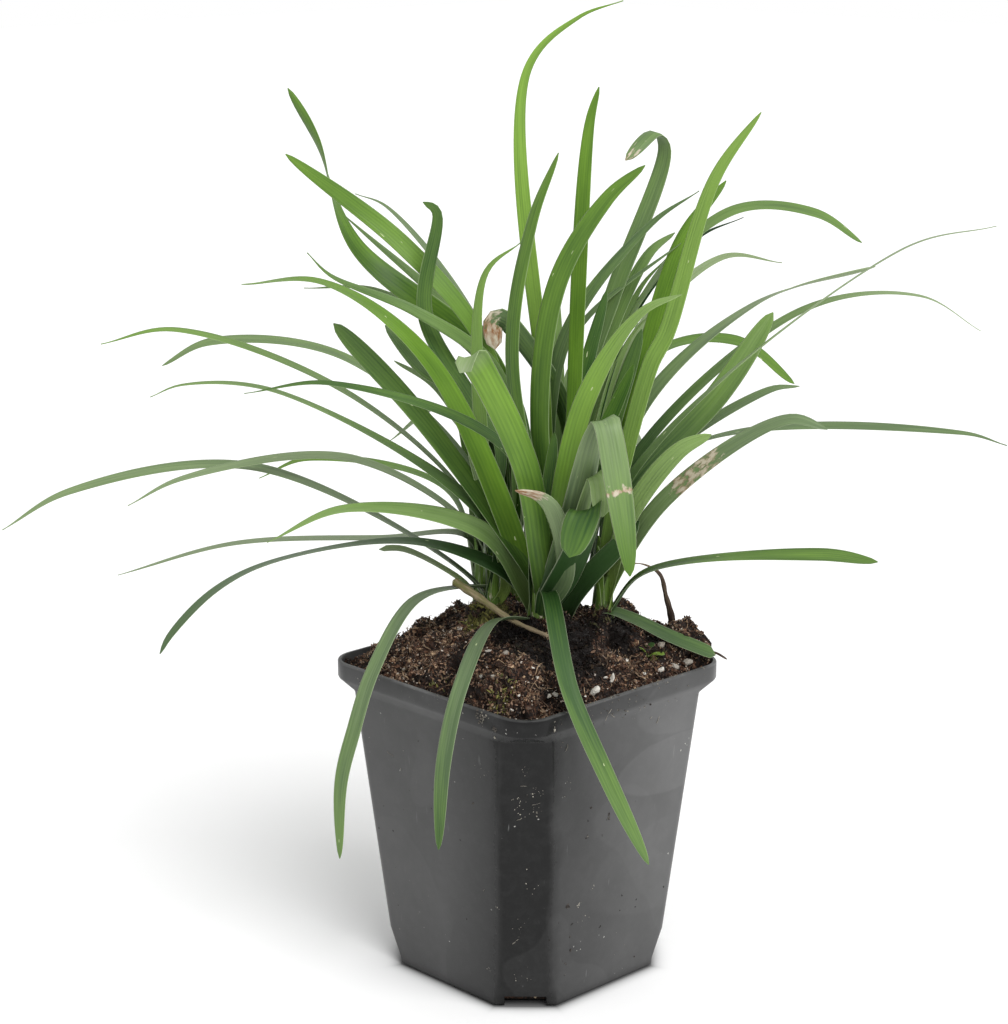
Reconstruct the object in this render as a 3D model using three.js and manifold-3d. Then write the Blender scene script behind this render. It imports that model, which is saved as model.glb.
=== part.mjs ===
// A clump of liriope, an evergreen lilyturf, in the square plastic pot it was grown in.
//
// Millimetres, +Z up. The origin is the middle of the pot's underside, and the pot's sides run along X and Y.
// The clump is set turned in its pot. Its own directions are "across" and "away", and it is seen best with
// "across" running from left to right.

import * as THREE from "three";
import { mergeVertices } from "three/addons/utils/BufferGeometryUtils.js";
import Module from "manifold-3d";

const wasm = await Module();
wasm.setup();

// ---------- driving dimensions ----------

const GAP = 0.3; // between pieces that rest against each other

const POT = {
  height: 100,
  rimWidth: 90, // across the flats of the rim
  rimRadius: 9.5, // the rim's corners are round
  bandHeight: 5.5, // the upright band round the rim
  bandSlope: 3.1, // its underside slopes in to the wall
  wallTopWidth: 88.4, // of the tapered wall, if it ran up to the top
  wallBaseWidth: 70,
  chamfer: 10.5, // the corners are cut off, this far along each side
  footChamfer: 13.5, // more is cut off at the foot
  footHeight: 3,
  footRise: 12, // the corner is back to its full width this far up
  wall: 1,
  floor: 1.6,
  notchWidth: 13, // the drain opening in each bottom corner
  notchHeight: 3.6,
  drainRadius: 3.5, // four round holes in the floor
  drainAt: 20,
};

const SOIL = {
  edgeHeight: 98, // where it meets the wall
  mound: 16.5, // how much higher it is in the middle
  steepness: 3.2,
  lumpAt: [49, 8], // a clod at the right-hand corner, in the clump's own directions
  lumpHeight: 8,
  lumpRadius: 8,
  crumb: 0.9, // height of the unevenness
  grid: 14, // cells along each side of the surface
};

const CLUMP_TURN = 46; // degrees, about the pot's axis

const SHEATH = {
  bottom: 105,
  top: 128,
  radius: 4.1,
  tipRadius: 2.2,
  sides: 10,
};

const ROOT_HEIGHT = 116; // where the blades leave the sheath
const ROOT_OFFSET = 1.8; // from the sheath's axis

const BLADE = {
  thickness: 0.7,
  baseWidth: 0.55, // of the full width, where the blade starts
  widensOver: 0.3, // of its length
  leastWidth: 0.7, // at the very tip
  stepLength: 32, // one cross-section for each of these
  stepTurn: 30, // and for each of these degrees of bend
};

// How a blade narrows to its tip: where it starts to, and how.
const FINE = { from: 0.3, bend: 1.7, end: 0.85 };
const ROUND = { from: 0.45, bend: 3, end: 0.5 };
const CUT = { from: 0.9, bend: 3, end: 0.35 };

// Each shoot's place in the clump [across, away], and its blades: full width, tip, roll in degrees at
// the root, middle and tip, and the points of the midrib after the root, as [across, away, up].
// The blades that lean away at the back follow a rule, from [heading in degrees, reach, rise, drop].
const SHOOTS = {
  shoot_left: {
    at: [-11, 1],
    blades: [
      [8.0, ROUND, [-100, -75, 15], [[-1, -1, 126], [-30, -18, 199], [-60, -29, 224], [-83, -37, 225]]],
      [6.8, ROUND, [-50, -65, -75], [[2, -3, 125], [-13, -5, 151], [-35, -11, 183], [-58, -17, 210]]],
      [6.0, FINE, [-15, -10, -45], [[-16, -1, 147], [-53, -5, 185], [-106, -11, 207], [-128, -13, 203]]],
      [6.0, FINE, [-85, -20, -25], [[-11, -3, 143], [-74, -22, 190], [-102, -30, 194], [-111, -33, 191]]],
      [6.8, FINE, [5, -10, -65], [[-17, 1, 125], [-84, 7, 160], [-144, 13, 151], [-166, 15, 138]]],
      [7.5, FINE, [-100, -40, -10], [[-1, -2, 123], [-14, -10, 144], [-55, -29, 156], [-77, -41, 149]]],
      [7.0, ROUND, [-85, 5, -20], [
        [-2, -1, 123], [-10, -4, 131], [-36, -11, 141], [-77, -23, 138], [-94, -30, 131],
        [-107, -37, 119], [-110, -39, 114],
      ]],
      [6.2, ROUND, [5, -5, -20], [
        [-11, 1, 122], [-21, -3, 124], [-35, -12, 122], [-47, -24, 104], [-53, -29, 86],
        [-57, -30, 70], [-58, -30, 45],
      ]],
      [5.4, ROUND, [-85, -95, -75], [[-7, 0, 124], [-19, -5, 175]]],
    ],
  },
  shoot_far_left: {
    at: [-14, 13],
    blades: [
      [6.4, ROUND, [-70, -45, -65], [[-11, 17, 164], [-32, 21, 206], [-28, 19, 238], [-32, 14, 242]]],
      [5.5, ROUND, [10, -10, -40], [
        [-12, 15, 138], [-9, 15, 167], [-22, 26, 181], [-32, 30, 186], [-45, 35, 200],
      ]],
      [4.5, ROUND, [10, 10, -5], [[-16, 28, 156], [-28, 43, 177], [-43, 53, 185]]],
      [6.0, FINE, [5, 0, -45], [[-14, 19, 150], [-57, 35, 189], [-102, 49, 192], [-119, 55, 183]]],
      [6.0, FINE, [-15, -15, -45], [[-15, 12, 135], [-54, 6, 163], [-106, -2, 159], [-123, -5, 151]]],
      [4.5, FINE, [25, -5, -50], [[-25, 21, 149], [-70, 37, 156], [-87, 43, 148]]],
      [5.5, FINE, [-10, -5, -30], [[-18, 15, 135], [-47, 23, 133], [-95, 35, 128], [-135, 47, 114]]],
      [5.0, CUT, [5, 0, -10], [[-22, 14, 122], [-39, 16, 131], [-47, 17, 131]]],
      [4.5, FINE, [20, 95, 100], [[-13, 12, 148], [-13, 6, 221], [-2, 5, 231]]],
    ],
    hidden: [[86, 112, 26, 20], [101, 95, 60, 0]],
  },
  shoot_front: {
    at: [3, -9],
    blades: [
      [5.5, FINE, [-55, -40, -20], [[-5, -19, 170], [-57, -38, 196], [-82, -47, 195]]],
      [5.6, ROUND, [-10, 5, -5], [[-10, -20, 118], [-20, -46, 106], [-25, -52, 85], [-27, -50, 56]]],
      [6.6, ROUND, [-15, 0, -5], [[6, -19, 127], [12, -51, 106], [23, -56, 81], [36, -52, 52]]],
      [8.8, ROUND, [40, 60, 60], [[4, -11, 123], [0, -26, 168], [-16, -44, 205], [-20, -50, 203]]],
      [7.2, ROUND, [95, 100, 20], [[8, -13, 140], [17, -24, 188], [33, -33, 216], [44, -37, 222]]],
      [8.6, ROUND, [70, 95, 10], [[13, -15, 146], [21, -32, 181], [24, -34, 178], [30, -38, 137]]],
      [6.0, ROUND, [0, 20, 35], [[9, -11, 127], [17, -17, 145], [20, -25, 163], [22, -30, 156]]],
      [4.5, ROUND, [-55, -30, 30], [[9, -12, 124], [8, -25, 155], [-4, -33, 163]]],
      [7.0, ROUND, [-5, 40, 85], [[12, -15, 132], [19, -27, 153], [21, -29, 154]]],
    ],
  },
  shoot_middle: {
    at: [12, 3],
    blades: [
      [6.8, ROUND, [50, 70, 70], [[4, 2, 173], [9, 0, 219], [24, 0, 245], [35, -1, 255]]],
      [5.4, ROUND, [-10, -5, 20], [[14, 7, 162], [19, 23, 264], [22, 25, 276]]],
      [6.2, ROUND, [-15, -20, -25], [[-5, 0, 195], [1, -2, 238], [9, -3, 259]]],
      [5.0, ROUND, [-5, -25, -30], [[8, 3, 125], [5, -4, 154], [8, -9, 174]]],
      [5.2, ROUND, [0, 10, 25], [[16, 15, 177], [25, 25, 213]]],
      [5.4, ROUND, [10, 45, 60], [[18, 6, 155], [33, 11, 192]]],
    ],
  },
  shoot_right: {
    at: [24, -4],
    blades: [
      [6.0, CUT, [0, 25, 25], [[31, -5, 117], [45, -5, 108], [59, -4, 102]]],
      [5.5, ROUND, [20, 15, 70], [[36, -8, 130], [87, -26, 141], [104, -34, 141]]],
      [6.4, ROUND, [75, 55, 30], [[25, -5, 122], [41, -13, 154], [77, -28, 183], [88, -32, 181]]],
      [6.4, ROUND, [45, 95, 90], [[30, -12, 147], [45, -25, 173], [54, -30, 179]]],
      [5.5, FINE, [20, 20, 10], [[30, -3, 156], [113, 2, 229], [142, 4, 236]]],
      [6.0, ROUND, [55, 65, 50], [
        [24, -4, 130], [37, -8, 195], [42, -9, 206], [55, -12, 252], [68, -14, 272],
      ]],
      [7.0, ROUND, [85, 85, 80], [[16, -5, 122], [31, -11, 143], [37, -14, 153]]],
      [4.4, ROUND, [20, -15, -35], [[24, -4, 119], [28, 2, 145]]],
    ],
  },
  shoot_back_left: {
    at: [-3, 21],
    blades: [
      [7.5, ROUND, [-100, -70, 100], [
        [-4, 24, 149], [-10, 31, 187], [-55, 43, 225], [-67, 51, 257], [-76, 55, 273],
      ]],
      [6.6, ROUND, [25, -35, -90], [[-7, 27, 174], [-16, 25, 200], [-39, 27, 227], [-75, 29, 255]]],
      [5.0, FINE, [45, 25, -40], [[-5, 28, 145], [-11, 44, 189], [-45, 68, 233], [-56, 73, 237]]],
      [5.0, FINE, [-5, -45, -65], [[-6, 31, 176], [-14, 36, 194], [-60, 53, 234]]],
      [5.5, FINE, [-5, -55, -80], [
        [-5, 22, 173], [-12, 20, 191], [-35, 16, 208], [-61, 17, 219], [-68, 17, 226],
      ]],
      [5.0, FINE, [10, -10, -45], [[-14, 34, 187], [-47, 46, 209], [-72, 53, 209]]],
    ],
    hidden: [[95, 115, 60, 20], [118, 95, 80, 10], [106, 70, 95, 10]],
  },
  shoot_back: {
    at: [10, 19],
    blades: [
      [6.0, ROUND, [-60, -15, 95], [[24, 35, 162], [43, 51, 188], [70, 66, 189], [91, 79, 172]]],
      [6.0, ROUND, [-55, -20, 75], [
        [18, 27, 149], [36, 47, 204], [67, 65, 232], [96, 77, 230], [113, 85, 219],
      ]],
      [5.0, FINE, [-10, 25, 70], [[19, 32, 149], [35, 58, 190], [66, 85, 214], [88, 99, 210]]],
      [4.5, FINE, [-5, 10, 25], [[18, 29, 151], [33, 49, 198], [56, 66, 223], [72, 74, 229]]],
      [6.0, ROUND, [5, 25, 45], [[19, 23, 140], [31, 30, 167], [50, 45, 226], [64, 51, 244]]],
      [5.6, ROUND, [-30, -10, 45], [
        [12, 20, 122], [13, 23, 141], [18, 32, 179], [28, 39, 210], [44, 46, 252], [41, 45, 257],
        [31, 38, 250],
      ]],
      [5.6, FINE, [10, 45, 70], [[7, 23, 170], [14, 26, 202], [39, 31, 233], [54, 33, 243]]],
      [6.0, FINE, [-45, 15, 90], [[6, 24, 179], [0, 37, 280], [16, 41, 296], [30, 43, 301]]],
      [6.5, CUT, [15, -5, -40], [[13, 23, 171], [-3, 26, 201], [-11, 27, 204]]],
      [5.2, ROUND, [-10, 10, 35], [[16, 30, 165], [39, 49, 220], [48, 53, 227]]],
      [4.0, FINE, [-20, 0, 40], [[9, 30, 184], [19, 35, 202], [51, 45, 226]]],
      [4.8, FINE, [0, 25, 45], [[17, 27, 148], [36, 53, 207], [46, 59, 218]]],
      [4.5, FINE, [0, 20, 40], [[17, 27, 148], [33, 45, 193], [40, 49, 201]]],
      [6.5, ROUND, [-5, 15, 40], [[22, 24, 146], [28, 31, 170], [37, 39, 198]]],
    ],
    hidden: [[66, 95, 80, 20], [84, 115, 60, 20], [92, 80, 88, 60]],
  },
  shoot_back_right: {
    at: [24, 11],
    blades: [
      [5.5, FINE, [-25, 10, 65], [[47, 3, 166], [130, -19, 177], [143, -23, 174]]],
      [5.5, FINE, [20, 10, 25], [[30, 18, 153], [87, 41, 203], [128, 55, 206], [150, 63, 193]]],
      [6.6, ROUND, [25, 60, 75], [[30, 11, 147], [60, 12, 183], [76, 13, 208]]],
      [6.0, ROUND, [5, 10, -50], [[34, 23, 171], [73, 43, 205], [114, 59, 215]]],
      [5.5, ROUND, [0, 10, 20], [[36, 17, 153], [77, 29, 180], [87, 31, 181]]],
    ],
    hidden: [[80, 115, 40, 20], [62, 75, 40, 0]],
  },};

// Dead bits, from one end to the other as [across, away, up]. A planted one stands in a hole in the soil.
const STICKS = {
  pale_stalk: {
    colour: 0xa8926c,
    radius: 0.8,
    tipRadius: 0.5,
    planted: false,
    points: [[6, -21, 115], [-3, -14, 115], [-14, -9, 121], [-22, -6, 127]],
  },
  dead_leaf: {
    colour: 0x4a3426,
    radius: 1.1,
    tipRadius: 0.5,
    planted: true,
    points: [[46, 9, 103], [46, 9, 110], [44, 9, 118], [42, 9, 125], [36, 7, 129], [28, 4, 129]],
  },
  rim_twig: {
    colour: 0x4a3426,
    radius: 0.7,
    tipRadius: 0.4,
    planted: false,
    points: [[55, 0, 102], [59, 0, 102], [63, -1, 100]],
  },
};
const COLOURS = {
  pot: 0x4a4b4d,
  soil: 0x2c1e16,
  leaf: 0x4f8436,
};

// ---------- small helpers ----------

const radians = THREE.MathUtils.degToRad;

function solidFrom(vertices, triangles) {
  return new wasm.Manifold(new wasm.Mesh({
    numProp: 3,
    vertProperties: new Float32Array(vertices.flatMap((v) => [v.x, v.y, v.z])),
    triVerts: new Uint32Array(triangles.flat()),
  }));
}

function meshFrom(solid, name, colour, roughness) {
  const { numProp, vertProperties, triVerts } = solid.getMesh();
  if (numProp !== 3) throw new Error(name + " holds more than positions");
  const geometry = new THREE.BufferGeometry();
  geometry.setAttribute("position", new THREE.BufferAttribute(vertProperties, 3));
  geometry.setIndex(new THREE.BufferAttribute(triVerts, 1));
  const flat = geometry.toNonIndexed();
  flat.computeVertexNormals();
  const material = new THREE.MeshStandardMaterial({ color: colour, roughness, metalness: 0 });
  const mesh = new THREE.Mesh(flat, material);
  mesh.name = name;
  return mesh;
}

// Solids joined into one, with any pocket that they close off between them filled.
function joined(parts) {
  const bodies = wasm.Manifold.union(parts).decompose();
  return wasm.Manifold.compose(bodies.filter((body) => body.volume() > 0));
}

// The solid of a plain three.js geometry, with its shared corners merged.
function solidOfGeometry(geometry) {
  geometry.deleteAttribute("normal");
  geometry.deleteAttribute("uv");
  const merged = mergeVertices(geometry);
  return new wasm.Manifold(new wasm.Mesh({
    numProp: 3,
    vertProperties: merged.attributes.position.array,
    triVerts: new Uint32Array(merged.index.array),
  }));
}

// A closed solid through rings of points, each ring counter-clockwise seen from the end it leads to.
function loft(rings) {
  const count = rings[0].length;
  const vertices = rings.flat();
  const triangles = [];
  for (let i = 0; i + 1 < rings.length; i++) {
    for (let k = 0; k < count; k++) {
      const a = i * count + k;
      const b = i * count + ((k + 1) % count);
      triangles.push([a, b, b + count], [a, b + count, a + count]);
    }
  }
  const middle = (ring) => ring.reduce((sum, p) => sum.add(p), new THREE.Vector3())
    .divideScalar(count);
  const first = vertices.push(middle(rings[0])) - 1;
  const last = vertices.push(middle(rings.at(-1))) - 1;
  const top = (rings.length - 1) * count;
  for (let k = 0; k < count; k++) {
    const next = (k + 1) % count;
    triangles.push([first, next, k], [last, top + k, top + next]);
  }
  return solidFrom(vertices, triangles);
}

function circle(x, y, z, radius, sides) {
  return Array.from({ length: sides }, (_, k) => {
    const angle = (2 * Math.PI * k) / sides;
    return new THREE.Vector3(x + radius * Math.cos(angle), y + radius * Math.sin(angle), z);
  });
}

// From the clump's own directions to the pot's.
function turned([across, away]) {
  const place = new THREE.Vector2(across, away).rotateAround(new THREE.Vector2(), radians(CLUMP_TURN));
  return [place.x, place.y];
}

// ---------- pot ----------

// A square ring of a given width at height z. Each corner runs from one side to the next in a few points:
// round = 0 cuts it off straight, round = 1 follows an arc of that radius.
function potRing(width, corner, round, z) {
  const half = width / 2;
  const steps = 4;
  const points = [];
  for (let quarter = 0; quarter < 4; quarter++) {
    for (let k = 0; k <= steps; k++) {
      const t = k / steps;
      const angle = (Math.PI / 2) * t;
      const arc = new THREE.Vector2(Math.cos(angle) - 1, Math.sin(angle) - 1).multiplyScalar(corner);
      const cut = new THREE.Vector2(-corner * t, -corner * (1 - t));
      const place = cut.lerp(arc, round).add(new THREE.Vector2(half, half));
      place.rotateAround(new THREE.Vector2(), (Math.PI / 2) * quarter);
      points.push(new THREE.Vector3(place.x, place.y, z));
    }
  }
  return points;
}

const wallWidth = (z) => THREE.MathUtils.lerp(POT.wallBaseWidth, POT.wallTopWidth, z / POT.height);
const bandFoot = POT.height - POT.bandHeight;
const wallTop = bandFoot - POT.bandSlope;

// The inside of the pot, or with a margin, what stands inside it clear of the wall.
function innerRings(margin, bottom, top) {
  const inset = 2 * (POT.wall + margin);
  const mouth = POT.rimWidth - inset - 0.6;
  return [
    potRing(wallWidth(bottom) - inset, POT.footChamfer, 0, bottom),
    potRing(wallWidth(POT.footRise) - inset, POT.chamfer, 0, POT.footRise),
    potRing(wallWidth(wallTop) - inset, POT.chamfer, 0, wallTop),
    potRing(mouth, POT.rimRadius - POT.wall, 1, bandFoot + 1),
    potRing(mouth, POT.rimRadius - POT.wall, 1, top),
  ];
}

function potSolid() {
  const { height, rimWidth, rimRadius, chamfer, footChamfer, footHeight, footRise } = POT;
  const middleOfFoot = (footHeight + footRise) / 2;
  const outer = loft([
    potRing(wallWidth(0), footChamfer, 0, 0),
    potRing(wallWidth(footHeight), footChamfer, 0, footHeight),
    potRing(wallWidth(middleOfFoot), THREE.MathUtils.lerp(footChamfer, chamfer, 0.7), 0, middleOfFoot),
    potRing(wallWidth(footRise), chamfer, 0.08, footRise),
    potRing(wallWidth(wallTop), chamfer, 0.08, wallTop),
    potRing(rimWidth - 0.3, rimRadius, 1, bandFoot),
    potRing(rimWidth, rimRadius, 1, bandFoot + 0.5),
    potRing(rimWidth, rimRadius, 1, height - 0.5),
    potRing(rimWidth - 0.7, rimRadius, 1, height),
  ]);
  let pot = outer.subtract(loft(innerRings(0, POT.floor, height + 5)));
  for (let quarter = 0; quarter < 4; quarter++) {
    const notch = new THREE.BoxGeometry(20, POT.notchWidth, 2 * POT.notchHeight);
    notch.translate(wallWidth(0) * Math.SQRT1_2 - 4, 0, 0);
    notch.rotateZ((Math.PI / 2) * (quarter + 0.5));
    pot = pot.subtract(solidOfGeometry(notch));
    const [x, y] = [[1, 0], [0, 1], [-1, 0], [0, -1]][quarter].map((d) => d * POT.drainAt);
    pot = pot.subtract(loft([-1, POT.floor + 1].map((z) => circle(x, y, z, POT.drainRadius, 16))));
  }
  return pot;
}

// ---------- soil ----------

function soilHeight(x, y) {
  const half = wallWidth(POT.height) / 2 - POT.wall;
  const out = ((x / half) ** 8 + (y / half) ** 8) ** (1 / 8);
  const mound = SOIL.mound * (1 - Math.min(out, 1) ** SOIL.steepness);
  const [lumpX, lumpY] = turned(SOIL.lumpAt);
  const lumpDistance = Math.hypot(x - lumpX, y - lumpY) / SOIL.lumpRadius;
  const lump = SOIL.lumpHeight * Math.exp(-(lumpDistance ** 2));
  const crumbs = Math.sin(0.61 * x + 1.3 * Math.sin(0.23 * y)) * Math.cos(0.55 * y + Math.sin(0.31 * x));
  return SOIL.edgeHeight + mound + lump + SOIL.crumb * crumbs;
}

// Everything below the surface of the soil, wider than the pot.
function groundSolid() {
  const cells = SOIL.grid;
  const reach = POT.rimWidth / 2 + 2;
  const place = (k) => THREE.MathUtils.lerp(-reach, reach, k / cells);
  const index = (i, j) => i * (cells + 1) + j;
  const vertices = [];
  const triangles = [];
  for (let i = 0; i <= cells; i++) {
    for (let j = 0; j <= cells; j++) {
      vertices.push(new THREE.Vector3(place(i), place(j), soilHeight(place(i), place(j))));
    }
  }
  for (let i = 0; i < cells; i++) {
    for (let j = 0; j < cells; j++) {
      const [a, b, c, d] = [index(i, j), index(i + 1, j), index(i + 1, j + 1), index(i, j + 1)];
      triangles.push([a, b, c], [a, c, d]);
    }
  }
  const edge = [];
  for (let k = 0; k < cells; k++) edge.push(index(k, 0));
  for (let k = 0; k < cells; k++) edge.push(index(cells, k));
  for (let k = cells; k > 0; k--) edge.push(index(k, cells));
  for (let k = cells; k > 0; k--) edge.push(index(0, k));
  const below = edge.map((e) => vertices.push(vertices[e].clone().setZ(-5)) - 1);
  const centre = vertices.push(new THREE.Vector3(0, 0, -5)) - 1;
  edge.forEach((e, k) => {
    const next = (k + 1) % edge.length;
    triangles.push([e, below[k], below[next]], [e, below[next], edge[next]], [below[k], centre, below[next]]);
  });
  return solidFrom(vertices, triangles);
}

// An upright hole that something stands in.
function holeSolid(place, bottom, radius, sides) {
  const [x, y] = turned(place);
  return loft([bottom, POT.height + 40].map((z) => circle(x, y, z, radius, sides)));
}

function soilSolid() {
  let soil = loft(innerRings(GAP, POT.floor + GAP, POT.height + 40)).intersect(groundSolid());
  for (const shoot of Object.values(SHOOTS)) {
    soil = soil.subtract(holeSolid(shoot.at, SHEATH.bottom - GAP, SHEATH.radius + 0.4, SHEATH.sides));
  }
  for (const stick of Object.values(STICKS)) {
    if (!stick.planted) continue;
    const [across, away, foot] = stick.points[0];
    soil = soil.subtract(holeSolid([across, away], foot - GAP, stick.radius + 0.6, 8));
  }
  return soil;
}

// ---------- shoots ----------

// The three values of a blade's roll are met at its root, middle and tip.
function rollAt([root, middle, tip], s) {
  return root * (1 - s) * (1 - 2 * s) + 4 * middle * s * (1 - s) + tip * s * (2 * s - 1);
}

function widthAt(full, tip, s) {
  const opening = Math.min(s / BLADE.widensOver, 1);
  const base = BLADE.baseWidth + (1 - BLADE.baseWidth) * opening * (2 - opening);
  const past = Math.max((s - tip.from) / (1 - tip.from), 0);
  return Math.max(full * base * (1 - past ** tip.bend) ** tip.end, BLADE.leastWidth);
}

// Places along a curve, as shares of its length, closer where it bends.
function stations(curve) {
  const samples = 96;
  const measure = [0];
  const step = curve.getLength() / samples;
  for (let k = 1; k <= samples; k++) {
    const bend = curve.getTangentAt((k - 1) / samples).angleTo(curve.getTangentAt(k / samples));
    measure.push(measure[k - 1] + step / BLADE.stepLength + bend / radians(BLADE.stepTurn));
  }
  const count = Math.max(5, Math.round(measure[samples]) + 1);
  return Array.from({ length: count + 1 }, (_, i) => {
    const wanted = (measure[samples] * i) / count;
    const k = Math.max(measure.findIndex((m) => m >= wanted - 1e-9), 1);
    const share = (wanted - measure[k - 1]) / (measure[k] - measure[k - 1]);
    return Math.min((k - 1 + share) / samples, 1);
  });
}

// One strap leaf: a strip of one thickness that rolls as it goes.
function bladeSolid([x, y], [width, tip, roll, points]) {
  const end = points.at(-1);
  const heading = Math.atan2(end[1] - y, end[0] - x);
  const root = new THREE.Vector3(
    x + ROOT_OFFSET * Math.cos(heading), y + ROOT_OFFSET * Math.sin(heading), ROOT_HEIGHT);
  const curve = new THREE.CatmullRomCurve3([root, ...points.map((p) => new THREE.Vector3(...p))]);
  const level = new THREE.Vector3(-Math.sin(heading), Math.cos(heading), 0);
  const vertices = [];
  const places = stations(curve);
  for (const s of places) {
    const middle = curve.getPointAt(s);
    const along = curve.getTangentAt(s);
    const side = level.clone().addScaledVector(along, -level.dot(along)).normalize();
    side.applyAxisAngle(along, radians(rollAt(roll, s)));
    const up = along.clone().cross(side);
    const half = widthAt(width, tip, s) / 2;
    const thick = BLADE.thickness / 2;
    for (const [out, over] of [[-1, 1], [1, 1], [1, -1], [-1, -1]]) {
      vertices.push(middle.clone().addScaledVector(side, out * half).addScaledVector(up, over * thick));
    }
  }
  const ring = 4;
  const triangles = [[0, 1, 2], [0, 2, 3]];
  for (let i = 0; i + 1 < places.length; i++) {
    for (let k = 0; k < ring; k++) {
      const a = i * ring + k;
      const b = i * ring + ((k + 1) % ring);
      const [c, d] = [b + ring, a + ring];
      if (k < 2) triangles.push([a, d, c], [a, c, b]);
      else triangles.push([a, d, b], [b, d, c]);
    }
  }
  const cap = (places.length - 1) * ring;
  triangles.push(...triangles.slice(0, 2).map(([a, b, c]) => [a + cap, c + cap, b + cap]));
  return solidFrom(vertices, triangles);
}

// A blade that leans away at the back rises, arches over and comes down again.
function hiddenBlade([x, y], [heading, reach, rise, drop]) {
  const [c, s] = [Math.cos(radians(heading)), Math.sin(radians(heading))];
  const points = [[0.14, 0.6 * rise], [0.52, rise], [1, rise - drop]].map(([out, up]) => [
    x + c * reach * out, y + s * reach * out, ROOT_HEIGHT + up,
  ]);
  return [6, FINE, [0, 0, 0], points];
}

function sheathSolid([x, y]) {
  const { bottom, top, radius, tipRadius, sides } = SHEATH;
  return loft([
    circle(x, y, bottom, radius * 0.8, sides),
    circle(x, y, bottom + 4, radius, sides),
    circle(x, y, ROOT_HEIGHT, radius, sides),
    circle(x, y, top, tipRadius, sides),
  ]);
}

function shootSolid({ at, blades, hidden = [] }) {
  const rows = [...blades, ...hidden.map((row) => hiddenBlade(at, row))];
  return joined([sheathSolid(at), ...rows.map((row) => bladeSolid(at, row))]);
}

// ---------- dead bits on the soil ----------

function stickSolid({ radius, tipRadius, points }) {
  const curve = new THREE.CatmullRomCurve3(points.map((p) => new THREE.Vector3(...p)));
  const steps = 8;
  const sides = 6;
  const level = new THREE.Vector3(0, 0, 1);
  const rings = [];
  for (let i = 0; i <= steps; i++) {
    const along = curve.getTangentAt(i / steps);
    const side = new THREE.Vector3().crossVectors(level, along);
    if (side.lengthSq() < 0.05) side.set(1, 0, 0).addScaledVector(along, -along.x);
    side.normalize();
    const up = new THREE.Vector3().crossVectors(along, side);
    const size = THREE.MathUtils.lerp(radius, tipRadius, i / steps);
    rings.push(Array.from({ length: sides }, (_, k) => {
      const angle = (2 * Math.PI * k) / sides;
      return curve.getPointAt(i / steps)
        .addScaledVector(side, size * Math.cos(angle))
        .addScaledVector(up, size * Math.sin(angle));
    }));
  }
  return loft(rings);
}

// ---------- the whole plant ----------

const plant = new THREE.Group();
plant.add(meshFrom(potSolid(), "pot", COLOURS.pot, 0.42));
plant.add(meshFrom(soilSolid(), "soil", COLOURS.soil, 0.95));

const clump = new THREE.Group();
clump.rotation.z = radians(CLUMP_TURN);
for (const [name, shoot] of Object.entries(SHOOTS)) {
  clump.add(meshFrom(shootSolid(shoot), name, COLOURS.leaf, 0.5));
}
for (const [name, stick] of Object.entries(STICKS)) {
  clump.add(meshFrom(stickSolid(stick), name, stick.colour, 0.8));
}
plant.add(clump);

export default plant;
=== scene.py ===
"""The looks of a clump of liriope, an evergreen lilyturf, in the square plastic pot it was grown in.

The packed part is the frame: the pot, the soil and the leafy shoots stand in its places and have its sizes.
Sizes are in millimetres in this file and become metres where a mesh is made. The clump is set turned in its
pot, and its own directions are "across" and "away".
"""

import math

import bmesh
import bpy
import numpy as np
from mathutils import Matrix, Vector


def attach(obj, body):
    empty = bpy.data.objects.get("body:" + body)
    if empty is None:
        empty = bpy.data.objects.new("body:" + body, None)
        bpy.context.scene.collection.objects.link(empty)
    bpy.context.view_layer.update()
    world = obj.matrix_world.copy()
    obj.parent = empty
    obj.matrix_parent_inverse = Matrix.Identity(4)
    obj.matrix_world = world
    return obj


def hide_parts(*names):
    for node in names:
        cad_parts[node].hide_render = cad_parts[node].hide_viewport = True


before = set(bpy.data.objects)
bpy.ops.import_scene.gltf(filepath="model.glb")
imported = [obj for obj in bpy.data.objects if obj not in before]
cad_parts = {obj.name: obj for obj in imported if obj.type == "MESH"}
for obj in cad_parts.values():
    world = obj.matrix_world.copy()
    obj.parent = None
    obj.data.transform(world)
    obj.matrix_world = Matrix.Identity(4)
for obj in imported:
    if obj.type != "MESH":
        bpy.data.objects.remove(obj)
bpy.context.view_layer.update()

bl_info = {
    "name": "Potted Liriope",
    "version": (1, 0, 0),
    "blender": (4, 5, 0),
    "location": "View3D > Sidebar > Liriope",
    "description": "Builds a clump of liriope in a square nursery pot around its packed part",
    "category": "Object",
}

MM = 0.001
BODY = "root"

# ---------- sizes, in millimetres ----------

# The pot's sizes are the part's.
POT_HEIGHT = 100
RIM_WIDTH = 90
RIM_RADIUS = 9.5
BAND_HEIGHT = 5.5
BAND_SLOPE = 3.1
BAND_FOOT = POT_HEIGHT - BAND_HEIGHT
WALL_TOP = BAND_FOOT - BAND_SLOPE
WALL_TOP_WIDTH = 88.4
WALL_BASE_WIDTH = 70
CORNER_CUT = 10.5
CORNER_SOFT = 4
FOOT_CUT = 13.5
FOOT_SOFT = 1
FOOT_HEIGHT = 3
FOOT_RISE = 12
WALL = 1
FLOOR = 1.6
MOUTH_WIDTH = 87.4
MOUTH_RADIUS = RIM_RADIUS - WALL
# Points on each rounding of a ring, less one.
ROUNDING_STEPS = 7
NOTCH_WIDTH = 13
NOTCH_HEIGHT = 3.6
# The block that cuts a notch: half its length, and how far its middle lies inside the foot's square corner.
NOTCH_REACH = 10
NOTCH_INSET = 4
DRAIN_RADIUS = 3.5
DRAIN_AT = 20
GAP = 0.3

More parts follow.
